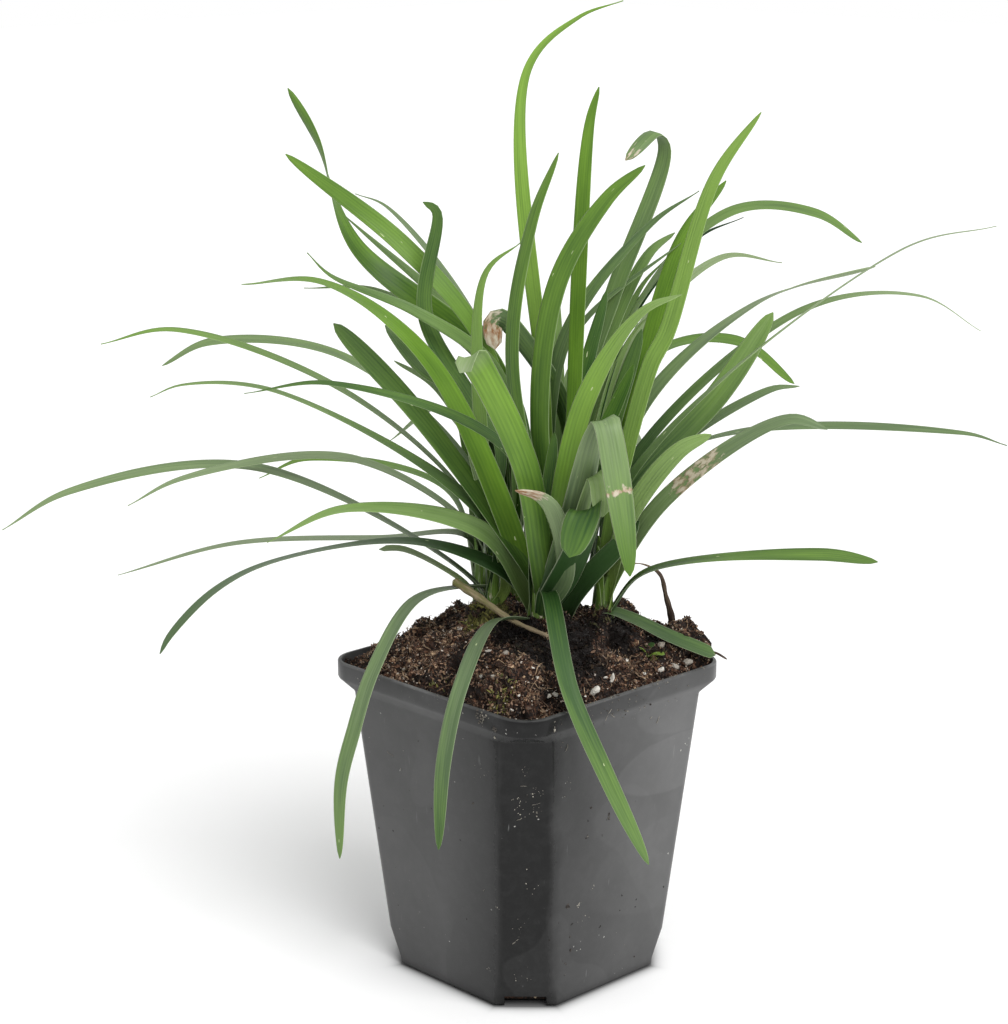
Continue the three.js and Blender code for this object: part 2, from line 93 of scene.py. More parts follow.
# The soil's height at the pot's wall, and how far its middle rises above that; how steeply it falls towards
# the wall, how square it is from above, and the height below which it fills the tapered wall.
SOIL_EDGE = 98
SOIL_MOUND = 16.5
SOIL_STEEPNESS = 3.2
SOIL_SQUARENESS = 8
SOIL_SHOULDER = 91
# The mesh of the soil's surface: points round it, rings across it, and how they close up towards its edge.
SOIL_POINTS = 170
SOIL_RINGS = 56
SOIL_CLOSING = 0.85
# How much small pieces outnumber large ones in what is strewn: 1 would be evenly.
SMALLNESS = 2.5
# The unevenness of the soil's top: the heights where it sets in and is full, and the cells and heights of its
# heaps and pits.
UNEVEN_FROM = 96
UNEVEN_FULL = 97.5
HEAP_CELL = 9
HEAP_HEIGHT = 15
PIT_CELL = 4
PIT_DEPTH = 2.2
# Heaps and, below 0, hollows of the soil: [across, away, radius, rise].
HEAPS = [
    (52, 6, 7.5, 13), (24, -4, 8, 5), (3, -9, 8, 4), (-11, 1, 8, 4), (31, 8, 6, 7), (-20, 5, 8, 2),
    (-27, 1, 7, -6), (-42, 2, 7, -4), (-5, -41, 9, 3), (28, -12, 4, -4), (15, -24, 8, -4), (-8, -17, 5, -4),
    (-22, -14, 4, -3), (24, -24, 6, 2), (-20, -24, 6, 2),
]
# Where the soil is wet and dark, which in these spots is also painted shadow of the leaves, or, below 0, dry
# and pale: [across, away, radius, wetness].
WETNESS_AND_PAINTED_SHADOW = [
    (16, -11, 7, 1), (29, -9, 4.5, 1), (22, -27, 3.5, 0.9), (16, -21, 5.5, 1), (13, -31, 4.5, 1),
    (40, -7, 4, 0.8), (-4, -14, 8, 1.1), (-20, -21, 4, 0.9), (4, -35, 4, 1), (4, -25, 5, 1),
    (-27, -14, 9, -0.9), (-20, -4, 7, -0.8), (-38, -12, 7, -0.9), (-5, -43, 9, -0.9), (2, -50, 6, -0.9),
    (24, -19, 4, -0.7), (33, -22, 7, -0.9), (49, 6, 8, -0.8), (-3, -30, 5, 0.7),
]

CLUMP_TURN = 46
ROOT_HEIGHT = 116
ROOT_OFFSET = 1.8
SHEATH_BOTTOM = 105
SHEATH_TOP = 128
SHEATH_RADIUS = 4.1
# The scale leaves round a shoot's foot: how many, the turn from one to the next in radians, the top of the
# first, how much taller each is than the last and how much that varies, and half their width and thickness.
SCALE_LEAVES = 5
SCALE_TURN = 2.4
SCALE_TOP = 123
SCALE_RISE = 3.2
SCALE_VARIES = 3
SCALE_HALF_WIDTH = 2.5
SCALE_HALF_THICKNESS = 0.18
# A blade's width at its root, as a share of its full width, and over which share of its length it widens.
BASE_WIDTH = 0.55
WIDENS_OVER = 0.3
# Half the width of a blade's very tip, and the half width below which it gets thinner.
LEAST_HALF_WIDTH = 0.18
THINS_BELOW = 1.2
# How deep a blade's channel is, as a share of its half width: all along it, how much more at the root, and
# the length over which that fades.
CHANNEL = 0.12
ROOT_CHANNEL = 0.5
ROOT_CHANNEL_FADES = 14
# How steeply a withered stretch sets in.
WITHERS = 1.6
# Samples on a curve between two of its points.
CURVE_SAMPLES = 40
# What the leaves' random draws start from.
LEAF_SEED = 11

# How a blade narrows to its tip: from which share of its length, how suddenly, and how bluntly. A fourth
# number is the width at its root, as a share of its full width.
FINE = (0.3, 1.7, 0.85)
ROUND = (0.45, 3, 0.5)
BLUNT = (0.6, 4, 0.5)
CUT = (0.9, 3, 0.35)

# Each shoot's place [across, away], and its blades: full width, tip, tone from 0, dark, to 1, bright,
# greyness of the bloom, which is partly painted sheen, roll in degrees at even steps from the root to the
# tip, and the midrib's points after the root, or from the soil on if the first is that low. A tone or a
# greyness may be several, for even steps as well. Low tones, most of all those below 0, partly paint the
# shade deep in the clump. After the points come the withered stretches: from and to a share of the length,
# and how dry. The hidden blades lean away at the back and follow a rule, from (heading, reach, rise, drop).
SHOOTS = {
    "shoot_left": {
        "at": (-11, 1),
        "blades": [
            (8.0, ROUND, 0.5, 0, (-100, -66, 15), [
                (4, -3, 112), (0, -1.5, 127), (-30, -18, 199), (-60, -29, 224), (-83, -37, 225),
            ]),
            (6.8, (0.7, 4, 0.5), (0.4, 0.15), (0, 0.2), (-50, -65, -75), [
                (4, -4, 112), (2, -3, 125), (-13, -5, 151), (-35, -11, 183), (-58, -17, 210),
            ]),
            (6.0, FINE, (0.2, 0.3, 0.6), (0.5, 0.4, 0.15), (-15, -10, -45), [
                (-16, -1, 147), (-53, -5, 185), (-106, -11, 207), (-128, -13, 203),
            ]),
            (6.0, FINE, (0.1, 0.25, 0.35), (0.1, 0.25, 0.35), (-85, -20, -25), [
                (-11, -3, 143), (-74, -22, 190), (-102, -30, 194), (-111, -33, 191),
            ]),
            (6.8, FINE, (0, 0.15, 0.3), (0.5, 0.5, 0.65), (5, -10, -65), [
                (-17, 1, 125), (-84, 7, 160), (-144, 13, 151), (-166, 15, 138),
            ]),
            (7.5, FINE, 0.5, 0.35, (-100, -40, -10), [
                (4, -5, 112), (-1, -3, 123), (-14, -10, 144), (-55, -29, 156), (-77, -41, 149),
            ]),
            (7.0, ROUND, -0.15, (0.05, 0.15, 0.25), (-85, 5, -20), [
                (3, -3, 112), (-2, -1, 123), (-10, -4, 131), (-36, -11, 141), (-77, -23, 138),
                (-94, -30, 131), (-107, -37, 119), (-110, -39, 114),
            ]),
            (6.2, ROUND, (0, 0.1, 0.3), (0.5, 0.45, 0.2), (18, -8, -20), [
                (-11, 1, 122), (-21, -3, 124), (-35, -12, 122), (-47, -24, 104), (-53, -29, 86),
                (-57, -30, 70), (-58, -30, 45),
            ]),
            (5.4, ROUND, 1.15, (0.6, 0.8, 0.9), (-85, -95, -75), [(-7, 0, 124), (-19, -5, 175)]),
        ],
    },
    "shoot_far_left": {
        "at": (-14, 13),
        "blades": [
            (6.4, ROUND, 0.15, 0.1, (-70, -45, -65), [
                (-11, 17, 164), (-32, 21, 206), (-28, 19, 238), (-32, 14, 242),
            ]),
            (5.5, BLUNT, 0.15, 0.15, (10, -10, -40), [
                (-12, 15, 138), (-9, 15, 167), (-22, 26, 181), (-32, 30, 186), (-45, 35, 200),
            ]),
            (4.5, ROUND, 0.3, 0.3, (10, 10, -5), [(-16, 28, 156), (-28, 43, 177), (-43, 53, 185)]),
            (6.0, ROUND, 0.25, 0.4, (5, 0, -45), [
                (-14, 19, 150), (-57, 35, 189), (-102, 49, 192), (-119, 55, 183),
            ]),
            (6.0, FINE, 0.2, 0.75, (-15, -15, -45), [
                (-15, 12, 135), (-54, 6, 163), (-106, -2, 159), (-123, -5, 151),
            ]),
            (5.5, FINE, 0.45, 0.1, (25, -5, -50), [(-25, 21, 149), (-70, 37, 156), (-87, 43, 148)]),
            (5.5, FINE, 0.1, 0.8, (-10, -5, -30), [
                (-18, 15, 135), (-47, 23, 133), (-95, 35, 128), (-135, 47, 114),
            ]),
            (5.0, CUT, 0.9, 0.9, (5, 0, -10), [(-22, 14, 122), (-39, 16, 131), (-47, 17, 131)]),
            (5.6, FINE, 0.6, 0.2, (20, 95, 100), [(-13, 12, 148), (-13, 6, 221), (-2, 5, 231)]),
        ],
        "hidden": [(86, 112, 26, 20), (101, 95, 60, 0)],
    },
    "shoot_front": {
        "at": (3, -9),
        "blades": [
            (5.5, FINE, 0.1, 0.1, (-55, -40, -20), [(-5, -19, 170), (-57, -38, 196), (-82, -47, 195)]),
            (5.9, (*ROUND, 0.15), (0, 0, 0.15), (0.5, 0.4, 0.05), (20, 5, -5), [
                (-10, -20, 118), (-20, -46, 106), (-25, -52, 85), (-27, -50, 56),
            ]),
            (6.6, ROUND, (0.2, 0.1, 0.3), (0, 0.15, 0.2), (-15, 0, -5), [
                (6, -19, 127), (12, -51, 106), (23, -56, 81), (36, -52, 52),
            ]),
            (8.8, (0.85, 4, 0.5), (0.4, 0.45, 0.7), (0, 0, 0, 0, 0, 0, 0, 0, 1),
             (40, 50, 60, 60, 60, 60, 60, 60, -60), [
                 (6, -9, 112), (6, -11, 123), (4, -17, 141), (-0.5, -26, 168), (-15, -43, 203),
                 (-17, -46, 205.5), (-20, -47, 201),
             ]),
            (7.2, ROUND, (0.45, 0.75, 1), (0, 0, 0.4), (95, 100, 20), [
                (8, -13, 140), (17, -24, 188), (33, -33, 216), (44, -37, 222),
            ]),
            (9.4, ROUND, (0.1, 0.15, 0.2, 0.3, 0.4), (0, 0.2, 0.6, 0.45, 0), (-20, -20, 15, 42), [
                (13, -18, 146), (20, -30, 180), (22, -33, 184), (23, -36, 182), (29, -39, 147),
                (30, -39, 138),
            ], (0.77, 0.8, 0.62)),
            (6.8, (0.8, 4, 0.5), (0.2, 0.5, 0.9), (0, 0.3, 0.7), (0, 0, 10, 40), [
                (9, -11, 127), (15, -20, 147), (20, -27, 166), (21, -29, 165), (22, -31, 154),
            ]),
            (6.2, ROUND, (0.2, 0.3, 0.4), (0, 0.6, 0.8), (0, 0, 25), [
                (11, -17, 132), (8, -25, 153), (4, -28, 159), (-4, -30, 162),
            ], (0.8, 1.1, 0.8)),
            (10.6, (0.75, 4, 0.5), (-0.2, -0.2, 0.15, 0.25), (0, 0, 0.05, 0.1), (-10, 0, 20, 50), [
                (11, -15, 129), (17, -26, 148), (18, -30, 156), (16, -33, 154), (12, -36, 143),
            ]),
        ],
    },
    "shoot_middle": {
        "at": (12, 3),
        "blades": [
            (6.8, ROUND, 0.35, 0.05, (50, 70, 70), [(4, 2, 173), (9, 0, 219), (24, 0, 245), (35, -1, 255)]),
            (5.4, ROUND, 0.45, 0, (-10, -5, 20), [(14, 7, 162), (19, 23, 264), (22, 25, 276)]),
            (6.2, ROUND, (0.1, 0.2, 0.45), 0, (-15, -20, -25), [(-5, 0, 195), (1, -2, 238), (9, -3, 259)]),
            (5.0, ROUND, 0.2, 0, (-5, -10, -10), [(7, -5, 130), (6, -12, 154), (8, -14, 176)]),
            (5.2, ROUND, 0.05, 0.05, (0, 10, 25), [(16, 15, 177), (25, 25, 213)]),
            (5.4, ROUND, 0.2, 0, (10, 45, 60), [(18, 6, 155), (33, 11, 192)]),
            # These three short blades fill the shade low in the clump, and their tones, at or below the
            # darkest green, paint that shade.
            (6.8, ROUND, -0.2, 0.05, (0, 0, 10), [(19, 2, 124), (22, 2, 141), (25, 3, 158), (27, 4, 170)]),
            (7, ROUND, -0.3, 0, (0, 0), [(16, 3, 116), (19, 3, 124), (22, 3, 133)]),
            (6.5, ROUND, 0, 0, (80, 80), [(6, 4, 120), (1, 2, 150), (-3, 2, 184)]),
        ],
    },
    "shoot_right": {
        "at": (24, -4),
        "blades": [
            (6.0, (*CUT, 0.2), 0.2, 0.2, (0, 25, 25), [
                (19, -4, 113), (23, -6, 117), (32, -6, 114.8), (43, -5, 109.3), (59, -4, 102.4),
            ], (0.96, 1.1, 0.5)),
            (5.5, ROUND, 0.35, 0.15, (20, 15, 70), [(36, -8, 130), (87, -26, 141), (104, -34, 141)]),
            (6.4, ROUND, (0.7, 0.3, -0.1), 0.5, (75, 55, 30), [
                (25, -5, 122), (41, -13, 154), (77, -28, 183), (88, -32, 181),
            ], (0.42, 0.6, 0.55), (0.5, 0.7, 0.5)),
            (6.4, ROUND, 0.9, 0.45, (45, 95, 90), [(30, -12, 147), (45, -25, 173), (54, -30, 179)]),
            (5.5, FINE, (0, 0.4, 0.1), (0, 0.35, 0.9), (20, 14, -6, -12, 20), [
                (30, -3, 156), (113, 2, 229), (142, 4, 236),
            ]),
            (6.0, ROUND, (0.7, 0.95), 0.2, (55, 65, 50), [
                (24, -4, 130), (37, -8, 195), (42, -9, 206), (55, -12, 252), (68, -14, 272),
            ]),
            (7.0, ROUND, -0.1, 0.1, (85, 85, 80), [
                (12, -3, 112), (14.5, -5, 121), (20, -8, 130), (31, -11, 143), (34, -12.5, 148),
            ]),
            (4.4, ROUND, 0.6, 0.1, (20, -15, -35), [(24, -4, 119), (28, 2, 145)]),
        ],
    },
    "shoot_back_left": {
        "at": (-3, 21),
        "blades": [
            (7.5, ROUND, 0.3, 0, (-100, -70, 100), [
                (-4, 24, 149), (-10, 31, 187), (-55, 43, 225), (-67, 51, 257), (-76, 55, 273),
            ]),
            (6.6, ROUND, 0.45, 0.05, (25, -35, -90), [
                (-7, 27, 174), (-16, 25, 200), (-39, 27, 227), (-75, 29, 255),
            ]),
            (5.0, FINE, 0, 0.5, (45, 25, -40), [
                (-5, 28, 145), (-11, 44, 189), (-45, 68, 233), (-56, 73, 237),
            ]),
            (5.0, FINE, 0.2, 0.3, (-5, -45, -65), [(-6, 31, 176), (-14, 36, 194), (-60, 53, 234)]),
            (5.5, FINE, 0.3, 0.2, (-5, -55, -80), [
                (-5, 22, 173), (-12, 20, 191), (-35, 16, 208), (-61, 17, 219), (-68, 17, 226),
            ]),
            (5.0, FINE, 0.2, 0.4, (10, -10, -45), [(-14, 34, 187), (-47, 46, 209), (-72, 53, 209)]),
        ],
        "hidden": [(95, 115, 60, 20), (118, 95, 50, 20), (106, 70, 60, 20)],
    },
    "shoot_back": {
        "at": (10, 19),
        "blades": [
            (6.0, ROUND, 0.4, 0.05, (-60, -15, 95), [
                (24, 35, 162), (43, 51, 188), (70, 66, 189), (91, 79, 172),
            ]),
            (6.0, ROUND, 0.35, 0.2, (-55, -20, 75), [
                (18, 27, 149), (36, 47, 204), (67, 65, 232), (96, 77, 230), (113, 85, 219),
            ]),
            (5.0, FINE, 1, 0.9, (-10, 25, 70), [
                (19, 32, 149), (35, 58, 190), (66, 85, 214), (88, 99, 210),
            ]),
            (4.5, FINE, -0.2, 0, (-5, 10, 25), [
                (18, 29, 151), (33, 49, 198), (56, 66, 223), (72, 74, 229),
            ]),
            (6.0, ROUND, 0.45, 0, (5, 25, 45), [
                (19, 23, 140), (31, 30, 167), (50, 45, 226), (64, 51, 244),
            ]),
            (5.6, (0.85, 3, 0.5), 0.2, 0.3, (-30, -10, 35, -60), [
                (12, 20, 122), (13, 23, 141), (18, 32, 179), (28, 39, 210), (44, 46, 255),
                (41, 45, 260), (31, 38, 252),
            ], (0.9, 1.3, 0.7)),
            (5.6, FINE, 0.1, 0.25, (10, 45, 70), [(7, 23, 170), (14, 26, 202), (39, 31, 233), (54, 33, 243)]),
            (6.0, FINE, 0.8, 0.1, (-45, 15, 90), [
                (6, 24, 179), (0, 37, 280), (16, 41, 296), (30, 43, 301),
            ]),
            (6.5, CUT, (0.3, 0.3, 0.1, 0), (0, 0, 0.3), (15, 40, 75, 70), [
                (13, 23, 171), (-3, 26, 199), (-8, 25, 204), (-10.5, 22, 203), (-10, 20, 195),
            ], (0.86, 1.2, 1)),
            (5.2, ROUND, 0.3, 0.25, (-10, 10, 35), [(16, 30, 165), (39, 49, 220), (48, 53, 227)]),
            (4.0, FINE, 0.1, 0.3, (-20, 0, 40), [(9, 30, 184), (19, 35, 202), (51, 45, 226)]),
            (4.8, FINE, 0.35, 0.2, (0, 25, 45), [(17, 27, 148), (36, 53, 207), (46, 59, 218)]),
            (4.5, FINE, 0.9, 0.5, (0, 20, 40), [(17, 27, 148), (33, 45, 193), (40, 49, 201)]),
            (6.5, ROUND, 0.1, 0.1, (-5, 15, 40), [(22, 24, 146), (28, 31, 170), (37, 39, 198)]),
        ],
        "hidden": [(66, 95, 80, 20), (84, 115, 60, 20), (92, 80, 88, 60)],
    },
    "shoot_back_right": {
        "at": (24, 11),
        "blades": [
            (5.5, FINE, 0, 0.4, (-25, 10, 65), [(47, 3, 166), (130, -19, 177), (143, -23, 174)]),
            (5.5, FINE, (0, 0.2, 0.4), (0, 0.3, 0.8), (20, 10, 25), [
                (30, 18, 153), (87, 41, 203), (128, 55, 206), (150, 63, 193),
            ]),
            (7.4, BLUNT, (0.1, 0.2, 0.5), (0.1, 0.2, 0.3), (25, 60, 75), [
                (30, 11, 147), (60, 12, 183), (76, 13, 208),
            ]),
            (6.0, ROUND, (0, 0.1, 0.3), (0, 0.4, 0.8), (5, 10, -50), [
                (34, 23, 171), (73, 43, 205), (114, 59, 215),
            ]),
            (5.5, ROUND, 0.05, 0.45, (0, 10, 20), [(36, 17, 153), (77, 29, 180), (87, 31, 181)]),
        ],
        "hidden": [(80, 115, 40, 20), (62, 75, 40, 0)],
    },
}

# The looks of the blades that are hidden at the back.
HIDDEN_WIDTH = 6
HIDDEN_TONE = 0.35
HIDDEN_BLOOM = 0.2

# Dead bits: their radii, how dry they are, from 0, brown, to 1, straw, and how mossy, at even steps from one
# end to the other, and points.
STICKS = {
    "pale_stalk": ((0.9, 1.1, 1.6, 2.1), (1, 0.7, 0.6, 0.5), (0.1, 0.4, 0.8, 1), [
        (6, -21, 114), (-5, -14, 117), (-14, -9, 122), (-23, -5, 127),
    ]),
    "dead_leaf": ((2.2, 1.3, 1, 0.75, 0.3, 0.4), (0, 0.05, 0.1, 0.2, 0.5, 0.8), (0,), [
        (46, 9, 103), (46, 9, 110), (44, 9, 118), (42, 9, 125), (36, 7, 129), (28, 4, 129),
    ]),
    "rim_twig": ((0.7, 0.4), (0.1,), (0,), [(55, 0, 102), (59, 0, 102), (63, -1, 100)]),
}

# Distance between a dead bit's cross-sections.
STICK_STEP = 0.7

# The leaflets of a weed seedling: full width, tone, and points from the stem to the tip.
SEEDLING = [
    (2.6, 0.7, [(37, -12, 104), (39, -12.5, 105.5), (42.5, -13, 105.5)]),
    (2.2, 0.3, [(37, -12, 104), (37.5, -11, 107), (39.5, -10.5, 108.3)]),
    (1.2, 1.2, [(37, -12, 104), (36, -12.5, 106.5), (34.5, -13, 107.8)]),
]

LEAFLET_HALF_THICKNESS = 0.12

# The camera: its direction from its target in degrees, about up and above the level, its distance, its
# target in the pot's frame, and its focal length and sensor.
CAMERA_AZIMUTH = 45.87
CAMERA_ELEVATION = 14.47
CAMERA_DISTANCE = 800
CAMERA_TARGET = (-14.1, 3.6, 144.4)
CAMERA_LENS = 90.65
SENSOR_WIDTH = 36
# Where the key light comes from, in the clump's own directions.
KEY_DIRECTION = (0.5, -0.75, 1.05)
FLOOR_REACH = 4000
FLOOR_DROP = 0.05


# ---------- what a user can change ----------


def linear(hex_colour):
    """An sRGB hex colour as linear red, green, blue and alpha."""
    parts = [int(hex_colour[i:i + 2], 16) / 255 for i in (1, 3, 5)]
    return tuple(c / 12.92 if c <= 0.04045 else ((c + 0.055) / 1.055) ** 2.4 for c in parts) + (1.0,)


def length(label, about, value):
    """A length property, given in millimetres."""
    return bpy.props.FloatProperty(
        name=label, description=about, default=value * MM, min=0, subtype="DISTANCE", unit="LENGTH")


def colour(label, about, hex_colour):
    """A colour property."""
    return bpy.props.FloatVectorProperty(
        name=label, description=about, default=linear(hex_colour), size=4, min=0, max=1, subtype="COLOR")


def count(label, about, value):
    """A whole-number property."""
    return bpy.props.IntProperty(name=label, description=about, default=value, min=0)


class PotLooks(bpy.types.PropertyGroup):
    """Sizes and colours of the pot."""

    edge: length("Edge", "Rounding of the pot's moulded edges", 0.45)
    plastic: colour("Plastic", "Black recycled polypropylene", "#191919")
    # The film's colour also carries painted light on the pot.
    film_and_painted_light: colour("Film", "Dried water and dust on the flat sides", "#6a6a6a")


class SoilLooks(bpy.types.PropertyGroup):
    """Sizes, amounts and colours of the potting soil."""

    crumb: length("Crumb", "Radius of an ordinary crumb of peat", 0.45)
    crumbs: count("Crumbs", "How many crumbs lie on the surface", 6900)
    flakes: count("Flakes", "How many flakes of bark and coir lie on the surface", 4600)
    fibres: count("Fibres", "How many root and bark fibres lie on the surface", 1300)
    grains: count("Grains", "How many pale grains lie on the surface", 1700)
    moss: count("Moss", "How many moss leaves grow on the surface", 2000)
    peat: colour("Peat", "Moist dark peat", "#190f0a")
    bark: colour("Bark", "Crumbs of bark and coir", "#6c4b38")
    straw: colour("Straw", "Dry chips and fibres", "#b3987a")
    perlite: colour("Perlite", "Expanded volcanic glass", "#e4e0d6")
    green: colour("Moss leaf", "Yellow-green moss", "#8d8a46")


class LeafLooks(bpy.types.PropertyGroup):
    """Sizes and colours of the leaves."""

    thickness: length("Thickness", "Thickness of a leaf blade at its midrib", 0.5)
    step: length("Step", "Distance between a blade's cross-sections", 2)
    sides: count("Sides", "Points round a blade's cross-section", 12)
    dark: colour("Dark green", "An old leaf", "#1f4613")
    bright: colour("Bright green", "A young leaf", "#7aa233")
    # The bloom colour also stands for painted sheen.
    bloom: colour("Bloom", "Grey wax on an outer leaf and on the lower side", "#93a37e")
    margin: colour("Margin", "Thin pale edge", "#c3d0ac")
    base: colour("Leaf base", "Where a leaf leaves its sheath", "#86a040")
    dry: colour("Dry tissue", "Brown tips and old sheaths", "#8a5f3a")


class StageLooks(bpy.types.PropertyGroup):
    """The floor and the studio lamps."""

    floor: colour("Floor", "Plain pale floor", "#fdfdfd")
    key: bpy.props.FloatProperty(
        name="Key light", description="Strength of the large, distant softbox", default=2.2, min=0)
    softness: bpy.props.FloatProperty(
        name="Key size", description="How much of the sky the softbox fills", default=math.radians(42),
        subtype="ANGLE", unit="ROTATION")
    sky: bpy.props.FloatProperty(
        name="Surround", description="Light from the white surround, which itself looks white", default=0.72,
        min=0)


# ---------- helpers ----------


def clump_to_pot(points):
    """Points in the clump's own directions, turned to the pot's; the rows are (across, away, up)."""
    turn = math.radians(CLUMP_TURN)
    c, s = math.cos(turn), math.sin(turn)
    return np.asarray(points, float) @ np.array([[c, s, 0], [-s, c, 0], [0, 0, 1]])


def add(tree, kind, links=None, **settings):
    """Adds a node with its settings. A link's key is an input's name or number, and its value a node,
    a socket or a plain value."""
    node = tree.nodes.new(kind)
    for name, value in settings.items():
        setattr(node, name, value)
    for key, value in (links or {}).items():
        if isinstance(key, str):
            socket = next(s for s in node.inputs if s.enabled and s.name == key)
        else:
            socket = node.inputs[key]
        if isinstance(value, bpy.types.Node):
            value = next(s for s in value.outputs if s.enabled)
        if isinstance(value, bpy.types.NodeSocket):
            tree.links.new(value, socket)
        else:
            socket.default_value = value
    return node


def maths(tree, operation, *values):
    """A Math node on sockets or numbers."""
    return add(tree, "ShaderNodeMath", dict(enumerate(values)), operation=operation)


def vector_maths(tree, operation, *values):
    """A Vector Math node on sockets or vectors. The second value of SCALE is a number."""
    links = dict(enumerate(values))
    if operation == "SCALE":
        links = {0: values[0], 3: values[1]}
    return add(tree, "ShaderNodeVectorMath", links, operation=operation)


def new_material(name, slot_roughness, **principled):
    """A material with one Principled BSDF, and its tree and shader."""
    material = bpy.data.materials.new(name)
    material.use_nodes = True
    tree = material.node_tree
    shader = tree.nodes["Principled BSDF"]
    shader.inputs["Roughness"].default_value = slot_roughness
    for label, value in principled.items():
        shader.inputs[label.replace("_", " ")].default_value = value
    return material, tree, shader


def drive(tree, shader, label, node):
    """Drives one of the shader's inputs by a node."""
    tree.links.new(next(s for s in node.outputs if s.enabled), shader.inputs[label])


def mix(tree, factor, first, second):
    """A colour mix."""
    return add(tree, "ShaderNodeMix", {"Factor": factor, "A": first, "B": second}, data_type="RGBA")


def span(tree, value, low, high, to_low=0.0, to_high=1.0):
    """Maps a value from one range to another, clamped."""
    return add(tree, "ShaderNodeMapRange", {
        "Value": value, "From Min": low, "From Max": high, "To Min": to_low, "To Max": to_high})


def noise_at(tree, where, per_metre, detail=3.0, roughness=0.55):
    """Noise with that many cells in a metre."""
    return add(tree, "ShaderNodeTexNoise", {
        "Vector": where, "Scale": per_metre, "Detail": detail, "Roughness": roughness})


def centred(tree, noise):
    """Noise about 0 instead of about a half."""
    return maths(tree, "SUBTRACT", noise, 0.5)


def per(millimetres):
    """How many cells of that size a metre holds."""
    return 1 / (millimetres * MM)


def object_place(tree):
    """Coordinates in the object's own frame, in a material."""
    return add(tree, "ShaderNodeTexCoord").outputs["Object"]


def axes(tree, vector):
    """The three numbers of a vector."""
    return add(tree, "ShaderNodeSeparateXYZ", {"Vector": vector}).outputs


def attribute(tree, name):
    """A number stored on the mesh, in a material."""
    return add(tree, "ShaderNodeAttribute", attribute_name=name).outputs["Fac"]


def bumped(tree, shader, height, depth, strength):
    """Drives the shader's normal from a height, which is 1 at that depth in millimetres."""
    bump = add(tree, "ShaderNodeBump", {"Height": height, "Distance": depth * MM, "Strength": strength})
    drive(tree, shader, "Normal", bump)


def new_object(name, vertices, faces, edges=()):
    """A mesh object at the origin, from points in millimetres."""
    mesh = bpy.data.meshes.new(name)
    mesh.from_pydata((np.asarray(vertices, float) * MM).tolist(), list(edges), list(faces))
    made = bpy.data.objects.new(name, mesh)
    bpy.context.scene.collection.objects.link(made)
    return made


def store(mesh, name, kind, values):
    """Writes an attribute on the mesh's points."""
    layer = mesh.attributes.new(name, kind, "POINT")
    layer.data.foreach_set("vector" if kind == "FLOAT_VECTOR" else "value", np.asarray(values, float).ravel())


def new_node_tree(name, **inputs):
    """A Geometry Nodes tree with named inputs, each given as its kind. Returns it and its input node."""
    tree = bpy.data.node_groups.new(name, "GeometryNodeTree")
    tree.interface.new_socket("Geometry", in_out="INPUT", socket_type="NodeSocketGeometry")
    for label, kind in inputs.items():
        tree.interface.new_socket(label, in_out="INPUT", socket_type="NodeSocket" + kind)
    tree.interface.new_socket("Geometry", in_out="OUTPUT", socket_type="NodeSocketGeometry")
    return tree, tree.nodes.new("NodeGroupInput")


def end_tree(tree, geometry, given):
    """Ends a tree in Realize Instances and Set Material."""
    plain = add(tree, "GeometryNodeRealizeInstances", {"Geometry": geometry})
    done = add(tree, "GeometryNodeSetMaterial", {"Geometry": plain, "Material": given.outputs["Material"]})
    add(tree, "NodeGroupOutput", {"Geometry": done})


def outward(mesh):
    """Turns the faces of closed shells outwards."""
    work = bmesh.new()
    work.from_mesh(mesh)
    bmesh.ops.recalc_face_normals(work, faces=work.faces)
    work.to_mesh(mesh)
    work.free()


def settle(made):
    """Replaces an object's mesh by what its modifiers make of it, as a plain mesh."""
    graph = bpy.context.evaluated_depsgraph_get()
    mesh = bpy.data.meshes.new_from_object(
        made.evaluated_get(graph), preserve_all_data_layers=True, depsgraph=graph)
    made.modifiers.clear()
    made.data = mesh
    mesh.name = made.name


def grow(made, tree, **inputs):
    """Runs a Geometry Nodes tree on an object and keeps the result as its mesh."""
    modifier = made.modifiers.new("grow", "NODES")
    modifier.node_group = tree
    for item in tree.interface.items_tree:
        if item.item_type == "SOCKET" and item.in_out == "INPUT" and item.name in inputs:
            modifier[item.identifier] = inputs.pop(item.name)
    if inputs:
        raise RuntimeError(f"{tree.name} has no input named {sorted(inputs)}")
    settle(made)
    outward(made.data)


def finish_piece(made, slot, *nodes):
    """Attaches a piece to the root body, and hides the CAD nodes that it stands for."""
    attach(made, BODY)
    if nodes:
        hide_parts(*nodes)


# ---------- pot ----------


def ring(width, cut, soft, height):
    """Points of a square ring. Each corner is cut straight, and an arc of radius soft leads into the cut at
    both its ends."""
    half = width / 2
    angle = np.linspace(0, math.pi / 4, ROUNDING_STEPS + 1)
    start = half - cut - soft * math.tan(math.pi / 8)
    lead_in = np.column_stack([half - soft + soft * np.cos(angle), start + soft * np.sin(angle)])
    corner = np.concatenate([lead_in, lead_in[::-1, ::-1]])
    points = []
    for quarter in range(4):
        turn = quarter * math.pi / 2
        c, s = math.cos(turn), math.sin(turn)
        points.append(corner @ np.array([[c, s], [-s, c]]))
    flat = np.concatenate(points)
    return np.column_stack([flat, np.full(len(flat), height)])


def round_ring(width, radius, height):
    """Points of a square ring with nearly round corners: only a short cut is between the roundings."""
    return ring(width, 0.6 * radius, radius, height)


def run_along(points):
    """How far along a line of points each of them lies."""
    return np.concatenate([[0], np.cumsum(np.linalg.norm(np.diff(points, axis=0), axis=1))])


def resampled(points, run, wanted):
    """Places along a line of points, each so far along it."""
    return np.column_stack([np.interp(wanted, run, points[:, i]) for i in range(3)])


